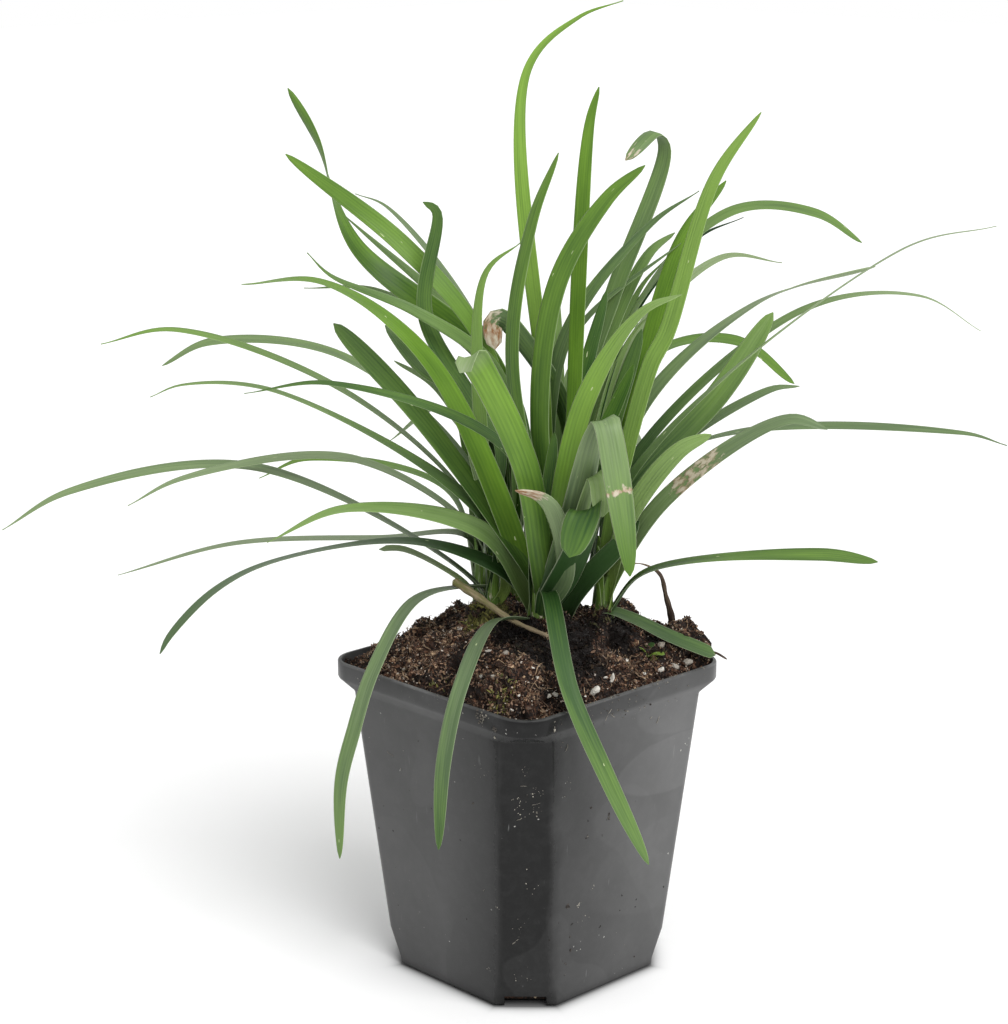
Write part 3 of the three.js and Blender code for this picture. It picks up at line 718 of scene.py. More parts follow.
def evenly(outline, n):
    """A closed outline as n points, evenly spaced."""
    closed = np.vstack([outline, outline[:1]])
    run = run_along(closed)
    return resampled(closed, run, np.linspace(0, run[-1], n, endpoint=False))


def wall_width(height):
    """Outside width of the tapered wall at a height."""
    return WALL_BASE_WIDTH + (WALL_TOP_WIDTH - WALL_BASE_WIDTH) * height / POT_HEIGHT


def loft(name, rings):
    """A mesh through rings of points, with its ends filled."""
    n = len(rings[0])
    faces = []
    for i in range(len(rings) - 1):
        for k in range(n):
            j = (k + 1) % n
            faces.append((i * n + k, i * n + j, (i + 1) * n + j, (i + 1) * n + k))
    last = (len(rings) - 1) * n
    faces.append(tuple(range(n - 1, -1, -1)))
    faces.append(tuple(range(last, last + n)))
    return new_object(name, np.concatenate(rings), faces)


def cut_away(made, tools):
    """Cuts closed meshes out of a piece, and removes them."""
    for tool in tools:
        outward(tool.data)
        modifier = made.modifiers.new("cut", "BOOLEAN")
        modifier.operation = "DIFFERENCE"
        modifier.solver = "EXACT"
        modifier.object = tool
    settle(made)
    for tool in tools:
        bpy.data.objects.remove(tool)


def drain_cutters():
    """The corner notches and the round holes of the pot's floor, as solids to cut away."""
    cutters = []
    for quarter in range(4):
        turn = math.pi / 2 * (quarter + 0.5)
        c, s = math.cos(turn), math.sin(turn)
        middle = wall_width(0) / math.sqrt(2) - NOTCH_INSET
        corners = []
        for z in (-NOTCH_HEIGHT, NOTCH_HEIGHT):
            for x, y in ((-1, -1), (1, -1), (1, 1), (-1, 1)):
                out, aside = middle + x * NOTCH_REACH, y * NOTCH_WIDTH / 2
                corners.append((c * out - s * aside, s * out + c * aside, z))
        box = ((0, 3, 2, 1), (4, 5, 6, 7), (0, 1, 5, 4), (1, 2, 6, 5), (2, 3, 7, 6), (3, 0, 4, 7))
        cutters.append(new_object("notch", corners, box))
        angle = np.linspace(0, 2 * math.pi, 24, endpoint=False)
        x, y = [(DRAIN_AT, 0), (0, DRAIN_AT), (-DRAIN_AT, 0), (0, -DRAIN_AT)][quarter]
        circle = np.column_stack([
            x + DRAIN_RADIUS * np.cos(angle), y + DRAIN_RADIUS * np.sin(angle), np.zeros(len(angle))])
        cutters.append(loft("drain", [circle + (0, 0, z) for z in (-1, FLOOR + 1)]))
    return cutters


def pot_mesh(edge):
    """The pot: a tapered square wall with cut corners, an upright band at the rim and a short foot. Its
    rings go up the outside, over the rim and down the inside; those at 40 and 68 only shorten the wall's
    long faces."""
    rings = [
        ring(wall_width(0) - 3 * edge, FOOT_CUT, FOOT_SOFT, 0),
        ring(wall_width(0) - edge, FOOT_CUT, FOOT_SOFT, edge),
        ring(wall_width(2 * edge), FOOT_CUT, FOOT_SOFT, 2 * edge),
        ring(wall_width(FOOT_HEIGHT), FOOT_CUT, FOOT_SOFT, FOOT_HEIGHT),
        ring(wall_width(FOOT_HEIGHT + edge), FOOT_CUT - 0.2, 1.3, FOOT_HEIGHT + edge),
        *(ring(wall_width(z), CORNER_CUT, CORNER_SOFT, z) for z in (FOOT_RISE, FOOT_RISE + edge, 40, 68)),
        ring(wall_width(WALL_TOP - edge), CORNER_CUT, CORNER_SOFT, WALL_TOP - edge),
        ring(wall_width(WALL_TOP + edge / 2), CORNER_CUT - 0.4, CORNER_SOFT + 0.5, WALL_TOP + edge / 2),
        round_ring(RIM_WIDTH - edge, RIM_RADIUS, BAND_FOOT - edge / 2),
        round_ring(RIM_WIDTH, RIM_RADIUS, BAND_FOOT + edge),
        round_ring(RIM_WIDTH, RIM_RADIUS, POT_HEIGHT - edge),
        round_ring(RIM_WIDTH - 0.6 * edge, RIM_RADIUS, POT_HEIGHT - 0.3 * edge),
        round_ring(RIM_WIDTH - 2 * edge, RIM_RADIUS, POT_HEIGHT),
        round_ring(MOUTH_WIDTH + edge, MOUTH_RADIUS, POT_HEIGHT),
        round_ring(MOUTH_WIDTH, MOUTH_RADIUS, POT_HEIGHT - edge),
        round_ring(MOUTH_WIDTH, MOUTH_RADIUS, BAND_FOOT + 1),
        ring(wall_width(WALL_TOP) - 2 * WALL, CORNER_CUT, FOOT_SOFT, WALL_TOP),
        ring(wall_width(FOOT_RISE) - 2 * WALL, CORNER_CUT, FOOT_SOFT, FOOT_RISE),
        ring(wall_width(FLOOR) - 2 * WALL, FOOT_CUT, FOOT_SOFT, FLOOR),
    ]
    pot = loft("nursery_pot", rings)
    outward(pot.data)
    cut_away(pot, drain_cutters())
    pot.data.shade_smooth()
    pot.data.set_sharp_from_angle(angle=math.radians(36))
    return pot


def flecks(tree, cells_at, radius, share):
    """1 inside small crisp specks, 0 elsewhere. The place is given in cells, one speck may lie in each, and
    the share is that of the cells with one."""
    bent = vector_maths(tree, "SCALE", noise_at(tree, cells_at, 2.0, 2).outputs["Color"], 0.5)
    cells = add(tree, "ShaderNodeTexVoronoi", {
        "Vector": vector_maths(tree, "ADD", cells_at, bent), "Scale": 1.0}, feature="F1")
    chosen = add(tree, "ShaderNodeSeparateColor", {"Color": cells.outputs["Color"]})
    size = maths(tree, "MULTIPLY", chosen.outputs["Green"], radius)
    inside = maths(tree, "LESS_THAN", cells.outputs["Distance"], size)
    return maths(tree, "MULTIPLY", inside, maths(tree, "GREATER_THAN", chosen.outputs["Red"], 1 - share))


# Where the film of dried water lies, by the sum of x and y, which is largest at one corner and least at the
# opposite one: from and to that sum, in millimetres, it gains so much. The film also carries painted light:
# it is least at the two corners where the sum is 0, which paints shade there, and grows along the sides as a
# painted reflection.
FILM_AND_PAINTED_LIGHT = [(10, 16, 0.25), (16, 70, 0.52), (-10, -16, 0.18), (-16, -36, 0.28)]
# Puddles that dried on the side that faces +X: [along, up, half length, half height, how pale].
DRIED_PUDDLES = [(25, 70.5, 26, 9.5, 0.13), (27, 91, 22, 11, 0.09), (30, 36, 41, 16, 0.05)]


def polypropylene(looks):
    """Injection-moulded recycled polypropylene: near black and satin. Dried water and dust leave a grey
    layer,
    which also carries painted light: least at the corner at +X -Y and the one opposite, as painted shade, and
    growing towards the two others as a painted reflection; it has crisp-edged puddles, stains and fine
    scuffs.
    Specks of pale grit and dark soil stick to all of it, and a painted highlight runs along the rim's edge."""
    material, tree, shader = new_material(
        "satin_recycled_polypropylene", 0.3, IOR=1.49, Specular_IOR_Level=0.2)
    place = object_place(tree)
    x, y, z = axes(tree, place)
    cloud = noise_at(tree, place, per(22), 4, 0.6)
    from_corner = maths(tree, "MULTIPLY_ADD", centred(tree, cloud), 9 * MM, maths(tree, "ADD", x, y))
    # The film's spread also paints light: shade at two corners and a reflection along the sides.
    spread = 0.0
    for near, far, gain in FILM_AND_PAINTED_LIGHT:
        spread = maths(tree, "ADD", spread, span(tree, from_corner, near * MM, far * MM, 0.0, gain))
    # The wall is darker at the foot, on the band and most on the band that faces +X, and cloudy all over.
    for value, low, high, to_low, to_high in (
            (z, 0.0, 50 * MM, 0.8, 1.0), (z, 94 * MM, 95.5 * MM, 1.0, 0.75),
            (x, 44.3 * MM, 44.7 * MM, 1.0, 0.72), (cloud, 0.3, 0.7, 0.85, 1.1)):
        spread = maths(tree, "MULTIPLY", spread, span(tree, value, low, high, to_low, to_high))
    # Where a puddle dried, its edge is crisp and the wall inside is a shade paler.
    edge = maths(tree, "MULTIPLY", centred(tree, noise_at(tree, place, per(11), 2)), 0.25)
    inside = 0.0
    for along, up, half_length, half_height, pale in DRIED_PUDDLES:
        off = add(tree, "ShaderNodeCombineXYZ", {
            "X": maths(tree, "DIVIDE", maths(tree, "SUBTRACT", y, along * MM), half_length * MM),
            "Y": maths(tree, "DIVIDE", maths(tree, "SUBTRACT", z, up * MM), half_height * MM)})
        reach = maths(tree, "ADD", vector_maths(tree, "LENGTH", off).outputs["Value"], edge)
        inside = maths(tree, "MAXIMUM", inside, span(tree, reach, 0.98, 1.04, pale, 0.0))
    elsewhere = vector_maths(tree, "ADD", place, (0.3, 0.1, 0.2))
    small = span(tree, noise_at(tree, elsewhere, per(34), 1, 0.3), 0.56, 0.575, 0.0, 0.05)
    dried = maths(tree, "ADD", maths(tree, "MULTIPLY", inside, span(tree, x, 30 * MM, 31 * MM)), small)
    grime = span(tree, noise_at(tree, place, per(3.5), 5, 0.7), 0.45, 0.75, 0.0, 0.05)
    # A painted highlight along the rim's top edge.
    painted_rim_highlight = maths(tree, "MULTIPLY",
                 span(tree, z, 99.3 * MM, 99.7 * MM, 0.0, 0.5), span(tree, cloud, 0.35, 0.6))
    film_and_painted_light = maths(tree, "ADD", maths(tree, "ADD", spread, dried), maths(tree, "ADD", grime, painted_rim_highlight))
    filmed = mix(tree, film_and_painted_light, looks.plastic, looks.film_and_painted_light)
    # Scuffs are a tenth of a millimetre wide, drawn a few times as wide to show, and run up and down.
    upright = vector_maths(tree, "MULTIPLY", place, (1.0, 1.0, 0.07))
    scuffs = span(tree, noise_at(tree, upright, per(0.9), 1, 0.4), 0.74, 0.82, 0.0, 0.3)
    rare = span(tree, noise_at(tree, place, per(14), 2), 0.5, 0.66)
    scuffed = mix(tree, maths(tree, "MULTIPLY", scuffs, rare), filmed, linear("#9a9b9b"))
    # Grit gathers in patches, and soil sticks mostly low down.
    aside = vector_maths(tree, "ADD", place, (0.0, 0.5, 0.0))
    gathered = span(tree, noise_at(tree, aside, per(20), 3), 0.5, 0.62)
    low = span(tree, z, 20 * MM, 95 * MM, 0.9, 0.35)
    grit = maths(tree, "MULTIPLY", flecks(tree, vector_maths(tree, "SCALE", place, per(1.7)), 0.17, 0.2),
                 gathered)
    gritty = mix(tree, maths(tree, "MULTIPLY", grit, 0.7), scuffed, linear("#b9b8b2"))
    crumbs = flecks(tree, vector_maths(tree, "SCALE", place, per(3.2)), 0.15, 0.22)
    soil = maths(tree, "MULTIPLY", crumbs, low)
    dirty = mix(tree, maths(tree, "MULTIPLY", soil, 0.85), gritty, linear("#17120e"))
    drive(tree, shader, "Base Color", dirty)
    # The film and the soil are duller than the bare plastic.
    rough = maths(tree, "ADD", span(tree, film_and_painted_light, 0.0, 1.1, 0.26, 0.42), maths(tree, "MULTIPLY", soil, 0.4))
    drive(tree, shader, "Roughness", rough)
    waves = noise_at(tree, place, per(9), 2)
    relief = maths(tree, "MULTIPLY_ADD", waves, 1.5, maths(tree, "ADD", grit, soil))
    bumped(tree, shader, relief, 0.1, 0.5)
    return material


# ---------- soil ----------


def soft_spots(x, y, rows):
    """Sum of round, soft spots [across, away, radius, strength] at points of the pot's frame."""
    total = np.zeros(np.shape(x))
    for across, away, radius, strength in rows:
        spot = clump_to_pot([(across, away, 0)])[0]
        total = total + strength * np.exp(-((x - spot[0]) ** 2 + (y - spot[1]) ** 2) / radius ** 2)
    return total


def soil_height(x, y):
    """Height of the soil's surface over a point of the pot's frame."""
    half = wall_width(POT_HEIGHT) / 2 - WALL
    out = ((x / half) ** SOIL_SQUARENESS + (y / half) ** SOIL_SQUARENESS) ** (1 / SOIL_SQUARENESS)
    mound = SOIL_MOUND * (1 - np.minimum(out, 1) ** SOIL_STEEPNESS)
    return SOIL_EDGE + mound + soft_spots(x, y, HEAPS)


def ground_mesh():
    """The soil as one closed body: its surface in rings round the middle, and its side inside the pot."""
    mouth = MOUTH_WIDTH - 2 * GAP
    radius = MOUTH_RADIUS - GAP
    rim = evenly(round_ring(mouth, radius, 0), SOIL_POINTS)
    shrink = 1 - np.linspace(0, 1, SOIL_RINGS) ** SOIL_CLOSING
    rings = []
    for share in shrink[:-1]:
        points = rim * (share, share, 1)
        points[:, 2] = soil_height(points[:, 0], points[:, 1])
        rings.append(points)
    rings.reverse()
    deep = [
        round_ring(mouth, radius, BAND_FOOT + 1),
        ring(wall_width(SOIL_SHOULDER) - 2 * WALL - 2 * GAP, CORNER_CUT, FOOT_SOFT, SOIL_SHOULDER),
        ring(wall_width(FOOT_RISE) - 2 * WALL - 2 * GAP, CORNER_CUT, FOOT_SOFT, FOOT_RISE),
        ring(wall_width(FLOOR) - 2 * WALL - 2 * GAP, FOOT_CUT, FOOT_SOFT, FLOOR + GAP),
    ]
    rings += [evenly(outline, SOIL_POINTS) for outline in deep]
    soil = loft("potting_soil", rings)
    x, y, _ = np.concatenate(rings).T
    # The damp spots, which also carry painted shadow, for the materials.
    store(soil.data, "wet_and_painted_shadow", "FLOAT", np.clip(soft_spots(x, y, WETNESS_AND_PAINTED_SHADOW), -1, 1))
    outward(soil.data)
    return soil


def random_between(tree, low, high, seed):
    """A random number for each element."""
    return add(tree, "FunctionNodeRandomValue", {"Min": low, "Max": high, "Seed": seed}, data_type="FLOAT")


def random_vector(tree, low, high, seed):
    """A random vector for each element."""
    return add(tree, "FunctionNodeRandomValue", {"Min": low, "Max": high, "Seed": seed},
               data_type="FLOAT_VECTOR")


def strewn(tree, surface, share, amount, seed, shape, sizes, stretch, tilt=0.5, lift=0.0):
    """Strews a shape over a surface, turned at random and mostly small. share weights the places, sizes are
    the least and the most in metres, and stretch is the least and the most along each of the shape's axes."""
    weighted = maths(tree, "MULTIPLY", add(tree, "GeometryNodeInputMeshFaceArea"), share)
    area = add(tree, "GeometryNodeAttributeStatistic", {
        "Geometry": surface, "Attribute": weighted}, domain="FACE")
    density = maths(tree, "DIVIDE", amount, area.outputs["Sum"])
    spots = add(tree, "GeometryNodeDistributePointsOnFaces", {
        "Mesh": surface, "Density": maths(tree, "MULTIPLY", density, share), "Seed": seed})
    draw = maths(tree, "POWER", random_between(tree, 0.0, 1.0, seed + 1), SMALLNESS)
    size = span(tree, draw, 0.0, 1.0, *sizes)
    turn = add(tree, "FunctionNodeRotateRotation", {
        "Rotation": spots.outputs["Rotation"],
        "Rotate By": random_vector(tree, (-tilt, -tilt, -math.pi), (tilt, tilt, math.pi), seed + 2)},
        rotation_space="LOCAL")
    raised = add(tree, "GeometryNodeSetPosition", {
        "Geometry": spots, "Offset": vector_maths(tree, "SCALE", spots.outputs["Normal"], lift)})
    scattered = add(tree, "GeometryNodeInstanceOnPoints", {
        "Points": raised, "Instance": shape, "Rotation": turn,
        "Scale": vector_maths(tree, "SCALE", random_vector(tree, *stretch, seed + 3), size)})
    tinted = add(tree, "GeometryNodeStoreNamedAttribute", {
        "Geometry": scattered, "Name": "tint", "Value": random_between(tree, 0.0, 1.0, seed + 4)},
        data_type="FLOAT", domain="INSTANCE")
    return add(tree, "GeometryNodeRealizeInstances", {"Geometry": tinted})


def roughened(tree, shape, cell, depth, seed):
    """Pushes points about by noise, by up to depth metres in cells of that size in millimetres."""
    where = vector_maths(tree, "ADD", add(tree, "GeometryNodeInputPosition"), (seed * 0.37, seed * 0.11, 0.0))
    lumps = add(tree, "ShaderNodeTexNoise", {"Vector": where, "Scale": per(cell), "Detail": 2.0})
    push = vector_maths(tree, "SUBTRACT", lumps.outputs["Color"], (0.5, 0.5, 0.5))
    return add(tree, "GeometryNodeSetPosition", {
        "Geometry": shape, "Offset": vector_maths(tree, "SCALE", push, depth)})


def upward_share(tree, margin=0.0):
    """1 on faces that look up and lie further than the margin, in mm, from the pot's wall, else 0."""
    up = axes(tree, add(tree, "GeometryNodeInputNormal"))["Z"]
    spot = vector_maths(tree, "ABSOLUTE", add(tree, "GeometryNodeInputPosition"))
    x, y, _ = axes(tree, spot)
    mouth = RIM_WIDTH / 2 - WALL - margin
    inside = maths(tree, "LESS_THAN", maths(tree, "MAXIMUM", x, y), mouth * MM)
    uncut = maths(tree, "LESS_THAN", maths(tree, "ADD", x, y), (2 * mouth - 0.5 * RIM_RADIUS) * MM)
    return maths(tree, "MULTIPLY", maths(tree, "MULTIPLY", inside, uncut), span(tree, up, 0.25, 0.45))


def uneven_ground(tree, ground):
    """Pits and heaps the top of the soil."""
    place = add(tree, "GeometryNodeInputPosition")
    height = axes(tree, place)["Z"]
    high_up = span(tree, height, UNEVEN_FROM * MM, UNEVEN_FULL * MM)
    top_only = maths(tree, "MULTIPLY", upward_share(tree), high_up)
    heaps = add(tree, "ShaderNodeTexNoise", {
        "Vector": place, "Scale": per(HEAP_CELL), "Detail": 5.0, "Roughness": 0.6})
    pits = add(tree, "ShaderNodeTexVoronoi", {"Vector": place, "Scale": per(PIT_CELL)}, feature="F1")
    relief = maths(tree, "MULTIPLY_ADD", centred(tree, heaps), HEAP_HEIGHT * MM,
                   maths(tree, "MULTIPLY", pits.outputs["Distance"], -PIT_DEPTH * MM))
    offset = vector_maths(tree, "SCALE", add(tree, "GeometryNodeInputNormal"),
                          maths(tree, "MULTIPLY", relief, top_only))
    return add(tree, "GeometryNodeSetPosition", {"Geometry": ground, "Offset": offset})


def ground_tree():
    """Crumbly ground: the surface is pitted and heaped, and crumbs and chunks of peat lie all over it."""
    tree, given = new_node_tree("crumbly_ground", Crumb="Float", Crumbs="Int", Material="Material")
    uneven = uneven_ground(tree, given.outputs["Geometry"])
    share = upward_share(tree, 1.6)
    crumb = given.outputs["Crumb"]
    irregular = ((0.5, 0.5, 0.4), (1.5, 1.1, 0.9))
    grain = add(tree, "GeometryNodeMeshIcoSphere", {"Radius": 1.0, "Subdivisions": 1})
    chunk = add(tree, "GeometryNodeMeshIcoSphere", {"Radius": 1.0, "Subdivisions": 2})
    fine_sizes = (maths(tree, "MULTIPLY", crumb, 0.6), maths(tree, "MULTIPLY", crumb, 2.0))
    many = given.outputs["Crumbs"]
    fine = strewn(tree, uneven, share, many, 4, grain, fine_sizes, irregular, lift=0.2 * MM)
    few = maths(tree, "MULTIPLY", many, 0.03)
    large_sizes = (maths(tree, "MULTIPLY", crumb, 1.8), maths(tree, "MULTIPLY", crumb, 3.6))
    large = strewn(tree, uneven, share, few, 14, chunk, large_sizes, irregular)
    parts = add(tree, "GeometryNodeJoinGeometry")
    for shape, cell in ((fine, 0.6), (large, 1.4)):
        tree.links.new(roughened(tree, shape, cell, 1.7 * MM, cell).outputs[0], parts.inputs[0])
    tree.links.new(uneven.outputs[0], parts.inputs[0])
    end_tree(tree, parts, given)
    return tree


def thread(tree):
    """A straight three-sided thread one unit long, lying along X."""
    line = add(tree, "GeometryNodeCurvePrimitiveLine", {"Start": (-0.5, 0.0, 0.0), "End": (0.5, 0.0, 0.0)})
    parts = add(tree, "GeometryNodeResampleCurve", {"Curve": line, "Count": 7})
    outline = add(tree, "GeometryNodeCurvePrimitiveCircle", {"Resolution": 3, "Radius": 0.5})
    return add(tree, "GeometryNodeCurveToMesh", {
        "Curve": parts, "Profile Curve": outline, "Fill Caps": True})


def grain_shape(tree):
    """A round lump of eighty faces."""
    return add(tree, "GeometryNodeMeshIcoSphere", {"Radius": 0.5, "Subdivisions": 2})


def flake_shape(tree):
    """A lump of twenty faces, to be stretched into a flake or a crumb."""
    return add(tree, "GeometryNodeMeshIcoSphere", {"Radius": 0.5, "Subdivisions": 1})


def moss_leaf(tree):
    """A tiny upright spike."""
    return add(tree, "GeometryNodeMeshCone", {
        "Vertices": 4, "Radius Top": 0.02, "Radius Bottom": 0.16, "Depth": 1.0})


# Each kind of litter: its shape, its least and largest size, the least and the most of its stretch along its
# axes, a seed, its tilt in radians, the cell and the depth of its bends, and how high it lies.
LITTER = {
    "bark_flakes": (flake_shape, (0.45, 1.2), ((0.9, 0.35, 0.2), (2.0, 0.9, 0.5)), 81, 1.2, (0.7, 0.9), 0.45),
    "root_fibres": (thread, (1.2, 6.0), ((0.8, 0.03, 0.03), (1.2, 0.055, 0.055)), 21, 0.9, (2.2, 3.0), 0.6),
    "pale_grains": (flake_shape, (0.3, 1.0), ((0.6, 0.5, 0.4), (1.2, 1.0, 0.8)), 41, 0.9, (0.9, 0.7), 0.4),
    "moss": (moss_leaf, (0.8, 2.2), ((0.8, 0.8, 0.8), (1.3, 1.3, 1.2)), 61, 0.9, (1.0, 0.8), 0.6),
}


def litter_tree(name):
    """Strews small things over the soil, more of them where its "patch" is higher and where it is dry, and
    fewer in the damp spots, which also carry painted shadow.
    """
    shape, sizes, stretch, seed, tilt, bend, lift = LITTER[name]
    tree, given = new_node_tree(name, Amount="Int", Material="Material")
    uneven = uneven_ground(tree, given.outputs["Geometry"])
    patch, wet_and_painted_shadow = (add(tree, "GeometryNodeInputNamedAttribute", {"Name": label}, data_type="FLOAT")
                  for label in ("patch", "wet_and_painted_shadow"))
    share = maths(tree, "MULTIPLY", upward_share(tree, 2.5), patch)
    share = maths(tree, "MULTIPLY", share, span(tree, wet_and_painted_shadow, -0.8, 0.8, 2.0, 0.15))
    spread = strewn(tree, uneven, share, given.outputs["Amount"], seed, shape(tree),
                    [s * MM for s in sizes], stretch, tilt, lift * MM)
    cell, depth = bend
    end_tree(tree, roughened(tree, spread, cell, depth * MM, seed), given)
    return tree


def litter_on(name, tree, material, amount, patches, everywhere):
    """A piece of litter on the soil, more of it in patches [across, away, radius, weight]."""
    made = ground_mesh()
    made.name = name
    points = np.empty(len(made.data.vertices) * 3)
    made.data.vertices.foreach_get("co", points)
    x, y, _ = points.reshape(-1, 3).T / MM
    store(made.data, "patch", "FLOAT", everywhere + soft_spots(x, y, patches))
    grow(made, tree, Amount=amount, Material=material)
    return made


def darkened_wet_and_shadowed(tree, toned, clumps):
    """Darkens a colour in the damp spots, which also carry painted shadow, with an edge broken by the noise.
    """
    wet_and_painted_shadow = maths(tree, "MULTIPLY_ADD", centred(tree, clumps), 1.2, attribute(tree, "wet_and_painted_shadow"))
    return mix(tree, span(tree, wet_and_painted_shadow, 0.3, 0.65, 0.0, 0.88), toned, linear("#0c0705"))


def moist_peat(looks):
    """Moist peat with bark: nearly black in damp spots, where painted shadow also lies, and in patches,
    elsewhere crumbs from dark to reddish brown, with dry tan chips and pale dust. Small glints of moisture
    lie on a grainy surface."""
    material, tree, shader = new_material("moist_peat", 0.9, IOR=1.45, Specular_IOR_Level=0.3)
    place = object_place(tree)
    tint = attribute(tree, "tint")
    grains = add(tree, "ShaderNodeTexVoronoi", {"Vector": place, "Scale": per(0.6)}, feature="F1")
    grain = add(tree, "ShaderNodeSeparateColor", {"Color": grains.outputs["Color"]}).outputs["Red"]
    variety = maths(tree, "MULTIPLY_ADD", tint, 0.55, maths(tree, "MULTIPLY", grain, 0.45))
    variety = maths(tree, "ADD", variety, span(tree, attribute(tree, "wet_and_painted_shadow"), -0.8, 0.0, 0.14, 0.0))
    brown = mix(tree, span(tree, variety, 0.3, 0.85), looks.peat, looks.bark)
    chips = mix(tree, span(tree, variety, 0.76, 0.92), brown, looks.straw)
    # Dust is a tenth of a millimetre fine, drawn a few times as coarse to show.
    dust = flecks(tree, vector_maths(tree, "SCALE", place, per(1.3)), 0.3, 0.3)
    dusted = mix(tree, maths(tree, "MULTIPLY", dust, 0.75), chips, linear("#b7a68c"))
    clumps = noise_at(tree, place, per(6), 3)
    shaded = mix(tree, span(tree, clumps, 0.34, 0.5, 0.75, 0.0), dusted, linear("#0c0705"))
    # Painted shadow: darker in the damp spots, which are partly painted shadow of the leaves.
    shaded = darkened_wet_and_shadowed(tree, shaded, clumps)
    drive(tree, shader, "Base Color", shaded)
    drive(tree, shader, "Roughness", span(tree, noise_at(tree, place, per(1.2), 2), 0.42, 0.6, 0.32, 0.85))
    bumped(tree, shader, noise_at(tree, place, per(0.5), 3), 0.5, 0.9)
    return material


# Where pale grains gather and where moss grows: [across, away, radius, weight].
GRAIN_PATCHES = [(48, -8, 7, 2)]
MOSS_PATCHES = [
    (-12.5, -4, 3.5, 6), (-15.5, -5, 3, 5), (-9.5, -1, 3, 5), (-9, -8, 3, 3), (-28, -32, 1.8, 1.8),
    (-7, -45, 1.8, 0.8), (5, 7, 2.5, 3), (-3, -28, 1.2, 2), (23, -8.5, 2.5, 2), (40, -12, 1.5, 1.5),
    (-10, -47, 2, 0.8),
]


def plain_litter(name, low, high, cell, roughness, depth):
    """A dry material between two colours: each piece has its own share, with a mottle of that cell in mm."""
    material, tree, shader = new_material(name, roughness)
    place = object_place(tree)
    mottle = noise_at(tree, place, per(cell), 3)
    share = maths(tree, "MULTIPLY_ADD", maths(tree, "SUBTRACT", mottle, 0.3), 0.45,
                  maths(tree, "MULTIPLY", attribute(tree, "tint"), 0.85))
    # Colours mix in linear light, and the power brings the middle shares down to where the eye expects them.
    share = maths(tree, "POWER", maths(tree, "MAXIMUM", share, 0.0), 1.7)
    toned = mix(tree, share, low, high)
    # Painted shadow: darker in the damp spots, which are partly painted shadow of the leaves.
    toned = darkened_wet_and_shadowed(tree, toned, noise_at(tree, place, per(6), 3))
    drive(tree, shader, "Base Color", toned)
    bumped(tree, shader, mottle, depth, 0.8)
    return material


# Stones on the soil: [across, away, length, width, height, lean of the length in degrees, paleness].
STONES = [
    (20, -36.5, 4.6, 2.3, 1.9, 48, 0.9), (50, -7, 3.6, 2.6, 2.0, 20, 0.5),
    (48.5, -4, 2.6, 2.0, 1.8, 0, 0.4), (45.5, -10.5, 3.6, 2.2, 1.9, -15, 0.55),
    (41, -17.5, 2.4, 1.7, 1.5, 30, 0.85), (25.5, -29.5, 3.4, 1.5, 1.3, 75, 0.85),
    (36, -18, 1.1, 1.0, 0.9, 0, 1.0), (30.5, -18, 1.0, 1.0, 0.8, 0, 1.0), (17, -38, 1.1, 0.9, 0.9, 0, 1.0),
    (23.5, -29, 1.3, 0.8, 0.8, 10, 0.9), (41.5, -10.5, 2.3, 1.9, 1.6, 20, 0.35),
    (-14, -37.5, 2.2, 1.4, 1.2, 10, 0.75), (-10.5, -39.5, 2.0, 1.3, 1.1, -10, 0.55),
    (-7, -31, 2.5, 1.4, 1.2, 20, 0.45), (-12, -28, 2.3, 0.9, 0.8, 5, 0.65), (1, -42, 0.9, 0.8, 0.8, 0, 1.0),
    (2.5, -43, 1.3, 0.9, 0.8, -20, 0.9), (6, -45, 1.8, 1.1, 1.0, 15, 0.8),
    (-3, -47.5, 1.0, 0.8, 0.8, 0, 1.0), (-5, -49, 1.5, 0.8, 0.8, -25, 0.95),
    (-22, 3, 0.9, 0.8, 0.8, 0, 1.0), (-21, -8.5, 1.6, 1.2, 1.0, 0, 0.75), (8, -44, 2.0, 1.4, 1.2, -40, 0.7),
    (-38, -12, 1.6, 1.2, 1.0, 0, 0.6),
]

# A stone's middle is this share of its height above the soil, and it is tilted by this, in radians.
STONE_RAISED = 0.2
STONE_TILT = 0.3
STONE_SEED = 3
# The height from which rays look for the soil under a stone.
RAY_FROM = 200

